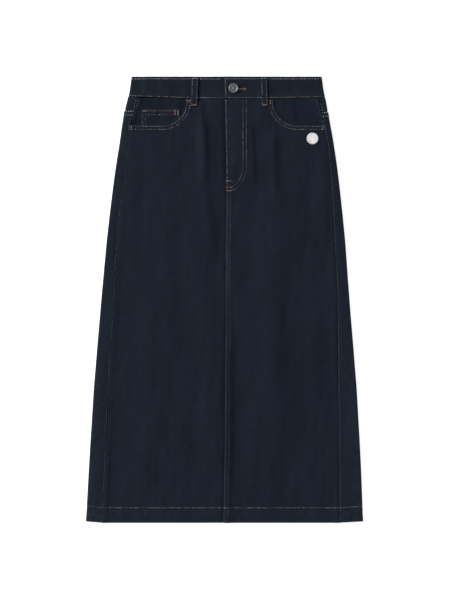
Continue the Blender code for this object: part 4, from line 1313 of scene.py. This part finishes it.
def mouthRow(side, off):
    inner = pocket["mouthLeft"] if side < 0 else pocket["mouthRight"]
    x, radius = inner - side * off, pocket["mouthRadius"]
    bend = (inner + side * radius, pocket["mouthDrop"] - radius)
    level = pocket["mouthDrop"] + off
    curve = arc(bend, (-side * (radius + off), radius + off), 0, 90)
    end = float(sideSeam(side, level)) - side * 0.0030
    top = float(waistSeam(np.array(x))) + 0.0015
    return np.concatenate([line((x, top), curve[0]), curve[1:-1], line(curve[-1], (end, level))])


def sewFront(side, piece):
    drops = np.linspace(0.0, 1.0, 200)
    end = form["length"] - 0.0008
    for off in pocket["rows"]:
        sew("pocket", piece, mouthRow(side, off))
    hemDrop = form["length"] - frontPanelCloth["hemRow"]
    start = float(centreX(hemDrop)) + (0.0004 if side > 0 else -0.0006)
    sew("hem", piece, line((start, hemDrop), (float(sideSeam(side, hemDrop)) - side * 0.001, hemDrop), 160))
    bar = pocket["bar"]
    seam = float(sideSeam(side, bar["drop"])) - side * bar["off"]
    tack("bars", piece, (seam, bar["ends"][0]), (seam, bar["ends"][1]), bar["width"])
    if side < 0:
        return
    innerTop = float(waistSeam(np.array(fly["innerX"]))) + 0.0015
    radii = (fly["innerX"] - fly["curveX"], fly["depth"])
    bend = (fly["curveX"], fly["curveDrop"])
    inside = arc(bend, radii, 0, 82)
    sew("fly", piece, np.concatenate([line((fly["innerX"], innerTop), inside[0]), inside[1:]]))
    outerX = fly["innerX"] + fly["spacing"]
    outside = arc(bend, (radii[0] + fly["spacing"], radii[1] + fly["spacing"]), 0, 94)
    sew("fly", piece, np.concatenate([line((outerX, innerTop), outside[0]), outside[1:]]))
    edge = mix(0.0425, 0.2040, drops)
    sew("flyEdge", piece, np.stack([centreX(edge) + fly["edgeRow"], edge], axis=1))
    ends = (*fly["sinkEnds"], end)
    for off, sinks in zip(fly["seamRows"], fly["sinks"]):
        for top, bottom, sink in zip(ends, ends[1:], sinks):
            below = mix(top, bottom, drops)
            sew("seams", piece, np.stack([centreX(below) + off, below], axis=1), fine=True, sink=sink)
    for bar in fly["bars"]:
        tack("tacks", piece, *bar)


def sewBack(side, panel, yoke):
    share = np.linspace(0, 1, 240)
    level = backCloth["yokeSide"][side]
    drop = mix(level + 0.010, form["length"] - 0.0016, share)
    onHip = 1 - smooth((drop - 0.080) / 0.020)
    walk = seamWalk(side, drop) - mix(backCloth["sideRow"], backCloth["hipRow"], onHip)
    group = "sideSeams" if side < 0 else "seams"
    sew(group, panel, np.stack([-side * walk, drop], axis=1), fine=True)
    drop = mix(0.042, level, share)
    walk = seamWalk(side, drop) - backCloth["hipRow"]
    sew("hips", yoke, np.stack([-side * walk, drop], axis=1))
    bar = backCloth["bar"]
    seam = float(seamWalk(side, np.array(bar["drop"]))) - bar["off"]
    tack("bars", panel, (-side * seam, bar["ends"][0]), (-side * seam, bar["ends"][1]), bar["width"])
    # rows that run right round, from the centre back to the side seam
    a = np.concatenate([share, 1 + share[1:], 2 + share[1:]])
    for off in backCloth["yokeRows"]:
        drop = mix(backCloth["yokeCentre"], level, np.minimum(a, 1)) + backCloth["seamGap"] + off
        sew("yoke", panel, np.stack([-side * wrapWalk(side, a, drop), drop], axis=1),
            pitch=backCloth["yokePitch"], heavy=backCloth["yokeHeavy"])
    bottom = form["length"] - backCloth["hemLift"] * (1 - backCloth["levelsOut"] * np.maximum(a - 2, 0))
    hemDrop = bottom - frontPanelCloth["hemRow"]
    sew("hem", panel, np.stack([-side * wrapWalk(side, a, bottom), hemDrop], axis=1))
    if side < 0:
        return
    # the centre back seam, on the panel and on the yoke
    for piece, top, end in ((panel, 0.101, form["length"] - 0.004), (yoke, 0.042, 0.097)):
        drop = mix(top, end, share)
        for off in backCloth["centreRows"]:
            walk = centreWalk(side, drop) + off
            sew("seams", piece, np.stack([-side * walk, drop], axis=1), fine=True)


def sewBand():
    cut = waistbandCloth
    u = np.linspace(0.0012, bandRun[5] - 0.001, 1200)
    x, z, outX, outZ, onFront = bandPoint(u, cut["level"])
    sew("bandTop", waistbandWrap, np.stack([u, bandTop(onFront) + cut["topRow"]], axis=1))
    sew("band", waistbandWrap, np.stack([u, bandBottom(x) - cut["bottomRow"]], axis=1))
    sew("flyEdge", waistbandWrap, line((cut["edgeRow"], 0.0045), (cut["edgeRow"], 0.0375)))
    # buttonhole: satin strands on both sides of the slot, and a bar at its outer end
    offset = -float(centreX(cut["slotDrop"]))
    first, last = cut["slotX"][0] + 0.006 + offset, cut["slotX"][1] + offset
    for group, way in (("buttonhole", -1), ("seams", 1)):
        level = cut["slotDrop"] + way * (cut["slotHalf"] + cut["strandOff"])
        tack(group, waistbandWrap, (first, level), (last, level), cut["strand"])
    barEnds = [(last + 0.0006, cut["slotDrop"] + reach) for reach in (-cut["barHalf"], cut["barHalf"])]
    tack("seams", waistbandWrap, *barEnds, cut["strand"])


def sewPockets():
    left, right, top = coin["left"], coin["right"], coin["top"]
    for off in coin["rows"]:
        sew("coin", coinPocketCloth, line((left + 0.001, top + off), (right - 0.001, top + off)))
    for off in coin["sideRows"]:
        sew("seams", coinPocketCloth, line((left + off, top + 0.011), (left + off, coin["bottom"] - 0.002)))
    rightRow = right - 0.0016
    sew("seams", coinPocketCloth, line((rightRow, top + 0.011), (rightRow, coin["bottom"] - 0.002)))
    tack("tacks", coinPocketCloth, (left + 0.0012, top + 0.0030), (left + 0.0095, top + 0.0030), 0.0020)
    for off in (0.0091, 0.0037):
        tack("pinkTacks", coinPocketCloth, (right - off, top + 0.0015), (right - off, top + 0.0105), 0.0020)
    for side, piece in ((-1, facingRightCloth), (1, facingLeftCloth)):
        drop = np.linspace(0.043, 0.084, 40)
        sew("seams", piece, np.stack([sideSeam(side, drop) - side * 0.0028, drop], axis=1), fine=True)
    for piece, bar in zip((frontRightCloth, frontLeftCloth), pocket["topBars"]):
        tack("pinkTacks", piece, *bar)


def sewLoops():
    cut = beltLoops
    for piece in frontLoops + backLoops:
        for off in cut["rows"]:
            at = off - cut["width"] / 2
            sew("loops", piece, line((at, cut["top"] + 0.002), (at, cut["end"] - 0.003)))
        for level in (cut["end"] - 0.0022, cut["top"] + 0.0030):
            group = "tacks" if piece in frontLoops and level > 0.02 else "loops"
            tack(group, piece, (-0.0050, level), (0.0050, level), 0.0019)


def sewPatch():
    # satin strands over the patch's rim
    cut = patch
    middle = cut["radius"] - cut["rim"] / 2 + 0.0003
    angle = np.arange(int(2 * math.pi * middle / cut["strand"])) * cut["strand"] / middle
    u, v = cut["x"] + middle * np.cos(angle), cut["drop"] + middle * np.sin(angle)
    keep("satin", patchCloth, u, v, np.cos(angle), np.sin(angle), cut["rim"], 0.00046, 0.00062)


for side, front, back, yoke in ((-1, frontRightCloth, backRightCloth, backYokeRightCloth),
                                (1, frontLeftCloth, backLeftCloth, backYokeLeftCloth)):
    sewFront(side, front)
    sewBack(side, back, yoke)
sewBand()
sewPockets()
sewLoops()
sewPatch()
threadPieces = {group: threadPiece(group + "Thread", group) for group in sewn}
print("sewn with", sum(len(row[0]) for rows in sewn.values() for row in rows), "stitches")


# the finishes: nodes, then cloth, metal and thread
def addNode(tree, kind, at=(0, 0), **settings):
    node = tree.nodes.new(kind)
    node.location = at
    for name, value in settings.items():
        setattr(node, name, value)
    return node


def feed(tree, socket, value):
    # joins a socket to another node's output, or sets it to a number
    if isinstance(value, bpy.types.NodeSocket):
        tree.links.new(value, socket)
    else:
        socket.default_value = value


def calc(tree, operation, *values):
    node = addNode(tree, "ShaderNodeMath", operation=operation)
    for socket, value in zip(node.inputs, values):
        feed(tree, socket, value)
    return node.outputs[0]


def noise(tree, vector, scale, detail=2.0, rough=0.5):
    node = addNode(tree, "ShaderNodeTexNoise", noise_dimensions="3D")
    feed(tree, node.inputs["Vector"], vector)
    node.inputs["Scale"].default_value = scale
    node.inputs["Detail"].default_value = detail
    node.inputs["Roughness"].default_value = rough
    return node.outputs["Fac"]


def stretch(tree, vector, sizes):
    node = addNode(tree, "ShaderNodeVectorMath", operation="MULTIPLY")
    feed(tree, node.inputs[0], vector)
    node.inputs[1].default_value = sizes
    return node.outputs[0]


def blendColours(tree, share, a, b):
    node = addNode(tree, "ShaderNodeMix", data_type="RGBA")
    feed(tree, node.inputs["Factor"], share)
    feed(tree, node.inputs["A"], a)
    feed(tree, node.inputs["B"], b)
    return node.outputs["Result"]


def newGroup(name, inputs, outputs):
    group = bpy.data.node_groups.new(name, "ShaderNodeTree")
    for label, kind in inputs:
        group.interface.new_socket(name=label, in_out="INPUT", socket_type="NodeSocket" + kind)
    for label, kind in outputs:
        group.interface.new_socket(name=label, in_out="OUTPUT", socket_type="NodeSocket" + kind)
    given = addNode(group, "NodeGroupInput", (-1200, 0)).outputs
    made = addNode(group, "NodeGroupOutput", (900, 0)).inputs
    return group, given, made


def bumpFrom(tree, height, distance, strength):
    bump = addNode(tree, "ShaderNodeBump", (-200, -300))
    bump.inputs["Distance"].default_value = distance
    bump.inputs["Strength"].default_value = strength
    feed(tree, bump.inputs["Height"], height)
    return bump.outputs["Normal"]


twill = dict(
    wobble=(0.0006, 0.0008), warpHeight=0.65, weftHeight=0.55, dip=0.35, lumps=0.45, rough=0.70,
    # how dark it is, and how strongly each kind of mark lightens it
    shade=-0.20, slub=0.50, crossSlub=0.20, mottle=0.60, wash=0.55, cloud=0.45, fibre=0.10,
    spots=2.4, spotsFrom=-1.55, rubbedLift=0.55, casts=((1.07, 0.94, 1.0, 1), (0.93, 1.05, 1.0, 1)),
)


def stainShare(tree, flat):
    # where the dye leans to purple, 0, or to teal, 1, in patches a few centimetres wide
    patches = noise(tree, stretch(tree, flat, (20, 8, 1)), 1.0, 2.0, 0.5)
    return calc(tree, "ADD", calc(tree, "MULTIPLY", calc(tree, "SUBTRACT", patches, 0.5), 2.6), 0.5)


def makeTwill():
    # a 3/1 right-hand twill on the flat cut, in metres: warp runs down the cloth
    group, given, made = newGroup(
        "indigoTwill",
        [("Flat", "Vector"), ("WearAndHighlight", "Float"), ("Warp", "Color"), ("Weft", "Color"),
         ("Warp Pitch", "Float"), ("Weft Pitch", "Float")],
        [("Color", "Color"), ("Roughness", "Float"), ("Height", "Float")],
    )
    parts = addNode(group, "ShaderNodeSeparateXYZ")
    wobble = noise(group, given["Flat"], 160, 1.0)
    feed(group, parts.inputs[0], given["Flat"])
    u = calc(group, "ADD", parts.outputs["X"], calc(group, "MULTIPLY", wobble, twill["wobble"][0]))
    v = calc(group, "ADD", parts.outputs["Y"], calc(group, "MULTIPLY", wobble, twill["wobble"][1]))
    u = calc(group, "DIVIDE", u, given["Warp Pitch"])
    v = calc(group, "DIVIDE", v, given["Weft Pitch"])
    warpRound = calc(group, "SINE", calc(group, "MULTIPLY", calc(group, "FRACT", u), math.pi))
    weftRound = calc(group, "SINE", calc(group, "MULTIPLY", calc(group, "FRACT", v), math.pi))
    turn = calc(group, "ADD", calc(group, "FLOOR", u), calc(group, "FLOOR", v))
    turn = calc(group, "FLOORED_MODULO", turn, 4.0)
    weftUp = calc(group, "LESS_THAN", turn, 0.5)
    warpDip = calc(group, "MULTIPLY", calc(group, "COMPARE", turn, 2.0, 0.6), twill["dip"])
    warpHeight = calc(group, "ADD", calc(group, "MULTIPLY", warpRound, twill["warpHeight"]), warpDip)
    weftHeight = calc(group, "MULTIPLY", weftRound, twill["weftHeight"])
    weaveHeight = addNode(group, "ShaderNodeMix", data_type="FLOAT")
    feed(group, weaveHeight.inputs["Factor"], weftUp)
    feed(group, weaveHeight.inputs["A"], warpHeight)
    feed(group, weaveHeight.inputs["B"], weftHeight)
    # slubs run along the yarns; mottling and wash marks lie over both
    slub = noise(group, stretch(group, given["Flat"], (900, 22, 1)), 1.0, 2.0)
    crossSlub = noise(group, stretch(group, given["Flat"], (30, 700, 1)), 1.0, 1.0)
    mottle = noise(group, given["Flat"], 210, 3.0, 0.6)
    wash = noise(group, stretch(group, given["Flat"], (22, 9, 1)), 1.0, 3.0, 0.55)
    cloud = noise(group, stretch(group, given["Flat"], (95, 60, 1)), 1.0, 2.0, 0.6)
    fibre = noise(group, given["Flat"], 2600, 1.0)
    marks = dict(slub=slub, crossSlub=crossSlub, mottle=mottle, wash=wash, cloud=cloud, fibre=fibre)
    shade = twill["shade"]
    for kind, mark in marks.items():
        shade = calc(group, "ADD", shade, calc(group, "MULTIPLY", mark, twill[kind]))
    # worn places come up lighter in spots, where the weft shows, and so do the painted highlights carried in
    # with the wear
    worn = calc(group, "ADD", *[calc(group, "MULTIPLY", mark, twill["spots"]) for mark in (mottle, cloud)])
    spots = calc(group, "MAXIMUM", calc(group, "ADD", worn, twill["spotsFrom"]), 0.0)
    rubbed = calc(group, "MULTIPLY", given["WearAndHighlight"], spots)
    yarn = blendColours(group, weftUp, given["Warp"], given["Weft"])
    faded = blendColours(group, calc(group, "MINIMUM", rubbed, 1.0), yarn, given["Weft"])
    cast = addNode(group, "ShaderNodeMix", data_type="RGBA", blend_type="MULTIPLY")
    cast.inputs["Factor"].default_value = 1.0
    feed(group, cast.inputs["A"], faded)
    stain = stainShare(group, given["Flat"])
    feed(group, cast.inputs["B"], blendColours(group, stain, *twill["casts"]))
    lit = addNode(group, "ShaderNodeVectorMath", operation="SCALE")
    feed(group, lit.inputs[0], cast.outputs["Result"])
    lift = calc(group, "ADD", calc(group, "MULTIPLY", rubbed, twill["rubbedLift"]), 1.0)
    feed(group, lit.inputs["Scale"], calc(group, "MULTIPLY", shade, lift))
    feed(group, made["Color"], lit.outputs[0])
    feed(group, made["Roughness"], calc(group, "ADD", calc(group, "MULTIPLY", mottle, 0.16), twill["rough"]))
    lumps = calc(group, "MULTIPLY", calc(group, "ADD", slub, mottle), twill["lumps"])
    feed(group, made["Height"], calc(group, "ADD", weaveHeight.outputs["Result"], lumps))
    return group


indigoTwill = makeTwill()


def newMaterial(name):
    material = bpy.data.materials.new(name)
    material.use_nodes = True
    tree = material.node_tree
    return material, tree, tree.nodes["Principled BSDF"]


def wovenMaterial(name, warp, weft, pitches=(0.00042, 0.00052), sheen=0.12):
    material, tree, shader = newMaterial(name)
    cloth = addNode(tree, "ShaderNodeGroup", (-500, 0), node_tree=indigoTwill)
    flat = addNode(tree, "ShaderNodeUVMap", (-900, 100), uv_map="flatCut").outputs["UV"]
    # the wear attribute also carries painted highlights on the side folds, along the fly's edge and on the
    # band's lower part
    wearAndHighlight = addNode(tree, "ShaderNodeAttribute", (-900, -100), attribute_name="wearAndHighlight").outputs["Fac"]
    feed(tree, cloth.inputs["Flat"], flat)
    feed(tree, cloth.inputs["WearAndHighlight"], wearAndHighlight)
    cloth.inputs["Warp"].default_value = (*warp, 1)
    cloth.inputs["Weft"].default_value = (*weft, 1)
    cloth.inputs["Warp Pitch"].default_value = pitches[0]
    cloth.inputs["Weft Pitch"].default_value = pitches[1]
    feed(tree, shader.inputs["Base Color"], cloth.outputs["Color"])
    feed(tree, shader.inputs["Roughness"], cloth.outputs["Roughness"])
    feed(tree, shader.inputs["Normal"], bumpFrom(tree, cloth.outputs["Height"], 0.00010, 0.6))
    shader.inputs["Specular IOR Level"].default_value = 0.10
    shader.inputs["Sheen Weight"].default_value = sheen
    shader.inputs["Sheen Roughness"].default_value = 0.45
    shader.inputs["Sheen Tint"].default_value = (0.55, 0.62, 0.80, 1)
    return material


weaves = dict(
    indigoDenim=dict(warp=(0.0064, 0.0100, 0.0190), weft=(0.0148, 0.0200, 0.0320)),
    bandDenim=dict(warp=(0.0066, 0.0099, 0.0172), weft=(0.0150, 0.0198, 0.0290)),
    # painted shade: the facings are the front's denim, made darker because they lie down inside the pocket
    # mouths
    shadedFacingDenim=dict(warp=(0.0052, 0.0086, 0.0172), weft=(0.0120, 0.0172, 0.0290)),
    navyTape=dict(warp=(0.009, 0.011, 0.019), weft=(0.016, 0.019, 0.030),
                  pitches=(0.0007, 0.0006), sheen=0.05),
    whitePatchTwill=dict(warp=(0.96, 0.96, 0.96), weft=(0.92, 0.92, 0.93),
                         pitches=(0.00036, 0.00036), sheen=0.05),
)
wovenPieces = dict(
    indigoDenim=(frontRightCloth, frontLeftCloth, backRightCloth, backLeftCloth, backYokeRightCloth,
                 backYokeLeftCloth, coinPocketCloth),
    bandDenim=(waistbandWrap, *frontLoops, *backLoops),
    shadedFacingDenim=(facingRightCloth, facingLeftCloth),
    navyTape=zipTapes,
    whitePatchTwill=(patchCloth,),
)
for name, weave in weaves.items():
    material = wovenMaterial(name, **weave)
    for piece in wovenPieces[name]:
        piece.data.materials.append(material)
print("cloth finished")


def threadMaterial(name, dark, light):
    # each stitch has its own share of the two colours
    material, tree, shader = newMaterial(name)
    tone = addNode(tree, "ShaderNodeAttribute", (-900, 0), attribute_name="tone").outputs["Fac"]
    place = addNode(tree, "ShaderNodeTexCoord", (-900, -200)).outputs["Object"]
    fibre = noise(tree, place, 5200, 1.0)
    strand = blendColours(tree, tone, (*dark, 1), (*light, 1))
    lit = addNode(tree, "ShaderNodeVectorMath", operation="SCALE")
    feed(tree, lit.inputs[0], strand)
    feed(tree, lit.inputs["Scale"], calc(tree, "ADD", calc(tree, "MULTIPLY", fibre, 0.6), 0.7))
    feed(tree, shader.inputs["Base Color"], lit.outputs[0])
    feed(tree, shader.inputs["Roughness"], calc(tree, "ADD", calc(tree, "MULTIPLY", fibre, 0.25), 0.42))
    feed(tree, shader.inputs["Normal"], bumpFrom(tree, fibre, 0.00005, 0.5))
    shader.inputs["Specular IOR Level"].default_value = 0.25
    shader.inputs["Sheen Weight"].default_value = 0.15
    return material


def makeWornMetal():
    # metal gone dark in its low places and rubbed bright where it is high
    group, given, made = newGroup(
        "wornMetal",
        [("Place", "Vector"), ("Bright", "Color"), ("Dark", "Color"),
         ("Rubbed", "Float"), ("Grain", "Float")],
        [("Color", "Color"), ("Roughness", "Float"), ("Height", "Float")],
    )
    clouds = noise(group, given["Place"], 420, 3.0, 0.6)
    grain = calc(group, "MULTIPLY", noise(group, given["Place"], 4200, 2.0), given["Grain"])
    patchy = calc(group, "MULTIPLY", calc(group, "SUBTRACT", clouds, 0.5), 1.3)
    share = calc(group, "ADD", given["Rubbed"], patchy)
    share = calc(group, "MAXIMUM", calc(group, "MINIMUM", share, 1.0), 0.0)
    feed(group, made["Color"], blendColours(group, share, given["Dark"], given["Bright"]))
    rough = calc(group, "ADD", 0.60, calc(group, "MULTIPLY", grain, 0.2))
    feed(group, made["Roughness"], calc(group, "SUBTRACT", rough, calc(group, "MULTIPLY", share, 0.22)))
    feed(group, made["Height"], calc(group, "ADD", grain, calc(group, "MULTIPLY", clouds, 0.5)))
    return group


wornMetal = makeWornMetal()


def metalMaterial(name, bright, dark, rubbed, grain=1.0):
    # rubbed is one share for the whole piece, or a function that adds nodes for it
    material, tree, shader = newMaterial(name)
    place = addNode(tree, "ShaderNodeTexCoord", (-900, 0)).outputs["Object"]
    metal = addNode(tree, "ShaderNodeGroup", (-500, 0), node_tree=wornMetal)
    feed(tree, metal.inputs["Place"], place)
    metal.inputs["Bright"].default_value = (*bright, 1)
    metal.inputs["Dark"].default_value = (*dark, 1)
    metal.inputs["Grain"].default_value = grain
    feed(tree, metal.inputs["Rubbed"], rubbed(tree, place) if callable(rubbed) else rubbed)
    feed(tree, shader.inputs["Base Color"], metal.outputs["Color"])
    feed(tree, shader.inputs["Roughness"], metal.outputs["Roughness"])
    feed(tree, shader.inputs["Normal"], bumpFrom(tree, metal.outputs["Height"], 0.00004, 0.5))
    shader.inputs["Metallic"].default_value = 1.0
    return material


def rubbedRim(tree, place):
    # the raised rim and the middle boss are rubbed, the ring between them is dark
    off = addNode(tree, "ShaderNodeVectorMath", operation="SUBTRACT")
    feed(tree, off.inputs[0], place)
    off.inputs[1].default_value = (button["x"], halfLength - button["drop"], 0)
    flat = stretch(tree, off.outputs[0], (1 / mm, 1 / mm, 0))
    length = addNode(tree, "ShaderNodeVectorMath", operation="LENGTH")
    feed(tree, length.inputs[0], flat)
    shares = addNode(tree, "ShaderNodeFloatCurve")
    curve = shares.mapping.curves[0]
    reach = 10.0  # the curve's whole width, in millimetres
    for radius, share in button["rubbed"]:
        curve.points.new(radius / reach, share)
    curve.points[0].location = (0.0, button["rubbed"][0][1])
    curve.points[-1].location = (1.0, button["rubbed"][-1][1])
    shares.mapping.update()
    feed(tree, shares.inputs["Value"], calc(tree, "DIVIDE", length.outputs["Value"], reach))
    return shares.outputs[0]


pewter = metalMaterial("antiquePewter", (0.27, 0.28, 0.295), (0.11, 0.115, 0.125), rubbedRim)
buttonTurned.data.materials.append(pewter)
antiqueBrass = metalMaterial("antiqueBrass", (0.52, 0.39, 0.20), (0.20, 0.14, 0.07), 0.55)
zipTeeth.data.materials.append(antiqueBrass)
zipPull.data.materials.append(antiqueBrass)
print("metal finished")

threadColours = dict(
    copper=((0.060, 0.034, 0.028), (0.50, 0.42, 0.39)), rust=((0.064, 0.034, 0.030), (0.42, 0.32, 0.31)),
    amber=((0.058, 0.031, 0.023), (0.47, 0.39, 0.32)), umber=((0.056, 0.030, 0.024), (0.50, 0.42, 0.37)),
    ash=((0.14, 0.14, 0.15), (0.58, 0.56, 0.60)), straw=((0.080, 0.050, 0.040), (0.68, 0.62, 0.58)),
    dusty=((0.045, 0.045, 0.050), (0.38, 0.38, 0.41)),
    orange=((0.24, 0.095, 0.050), (0.48, 0.25, 0.17)), pink=((0.28, 0.12, 0.11), (0.50, 0.32, 0.31)),
    chalk=((0.20, 0.20, 0.21), (0.82, 0.80, 0.82)), white=((0.78, 0.78, 0.78), (0.92, 0.92, 0.92)),
    dull=((0.035, 0.030, 0.030), (0.28, 0.24, 0.24)), pale=((0.055, 0.057, 0.065), (0.47, 0.48, 0.52)),
)
threadOf = dict(
    pocket="amber", coin="umber", hem="straw", band="copper", bandTop="chalk", yoke="ash", fly="rust",
    loops="pale", seams="dull", sideSeams="dusty", hips="pale", bars="pale", flyEdge="pale",
    tacks="orange", buttonhole="pink", pinkTacks="pink", satin="white",
)
threadFinishes = {name: threadMaterial(name + "Thread", *colours) for name, colours in threadColours.items()}
for group, piece in threadPieces.items():
    piece.data.materials.append(threadFinishes[threadOf[group]])
print("thread finished")

# the camera, the paper under the skirt and the lamps
studio = dict(
    lens=100, sensor=36, distance=3.0, centre=(0.0009, -0.0007), aboveFloor=0.006,
    floorHalf=24, floorUnder=0.0002, paper=0.86, paperGlow=0.70, worldLight=0.34,
    lamps=(("keyBox", (-4.76, 1.82, 2.94), (2.1, 1.54), 356), ("fillBox", (1.9, -1.2, 2.2), (1.8, 1.8), 9)),
)
camera = bpy.data.objects.new("camera", bpy.data.cameras.new("camera"))
camera.data.lens = studio["lens"]
camera.data.sensor_width = studio["sensor"]
camera.data.clip_end = 50
camera.location = (*studio["centre"], studio["distance"] + studio["aboveFloor"])
bpy.context.scene.collection.objects.link(camera)
bpy.context.scene.camera = camera

floorMesh = bpy.data.meshes.new("floor")
bm = bmesh.new()
bmesh.ops.create_grid(bm, x_segments=1, y_segments=1, size=studio["floorHalf"])
bmesh.ops.translate(bm, verts=bm.verts, vec=(0, 0, -studio["floorUnder"]))
bm.to_mesh(floorMesh)
bm.free()
floor = bpy.data.objects.new("floor", floorMesh)
bpy.context.scene.collection.objects.link(floor)
paper, _, paperShader = newMaterial("palePaper")
paperShader.inputs["Base Color"].default_value = (*[studio["paper"]] * 3, 1)
paperShader.inputs["Roughness"].default_value = 0.9
paperShader.inputs["Specular IOR Level"].default_value = 0.1
paperShader.inputs["Emission Color"].default_value = (1, 1, 1, 1)
paperShader.inputs["Emission Strength"].default_value = studio["paperGlow"]
floorMesh.materials.append(paper)

world = bpy.data.worlds.new("studio")
bpy.context.scene.world = world
world.use_nodes = True
background = world.node_tree.nodes["Background"]
background.inputs["Color"].default_value = (1.0, 1.0, 1.0, 1)
background.inputs["Strength"].default_value = studio["worldLight"]


def softBox(name, place, size, power):
    lamp = bpy.data.lights.new(name, "AREA")
    lamp.shape = "RECTANGLE"
    lamp.size, lamp.size_y = size
    lamp.energy = power
    box = bpy.data.objects.new(name, lamp)
    box.location = place
    box.rotation_euler = (-Vector(place)).to_track_quat("-Z", "Y").to_euler()
    box.visible_camera = False
    bpy.context.scene.collection.objects.link(box)
    return box


for lamp in studio["lamps"]:
    softBox(*lamp)
view = bpy.context.scene.view_settings
view.view_transform = "Standard"
view.look = "None"
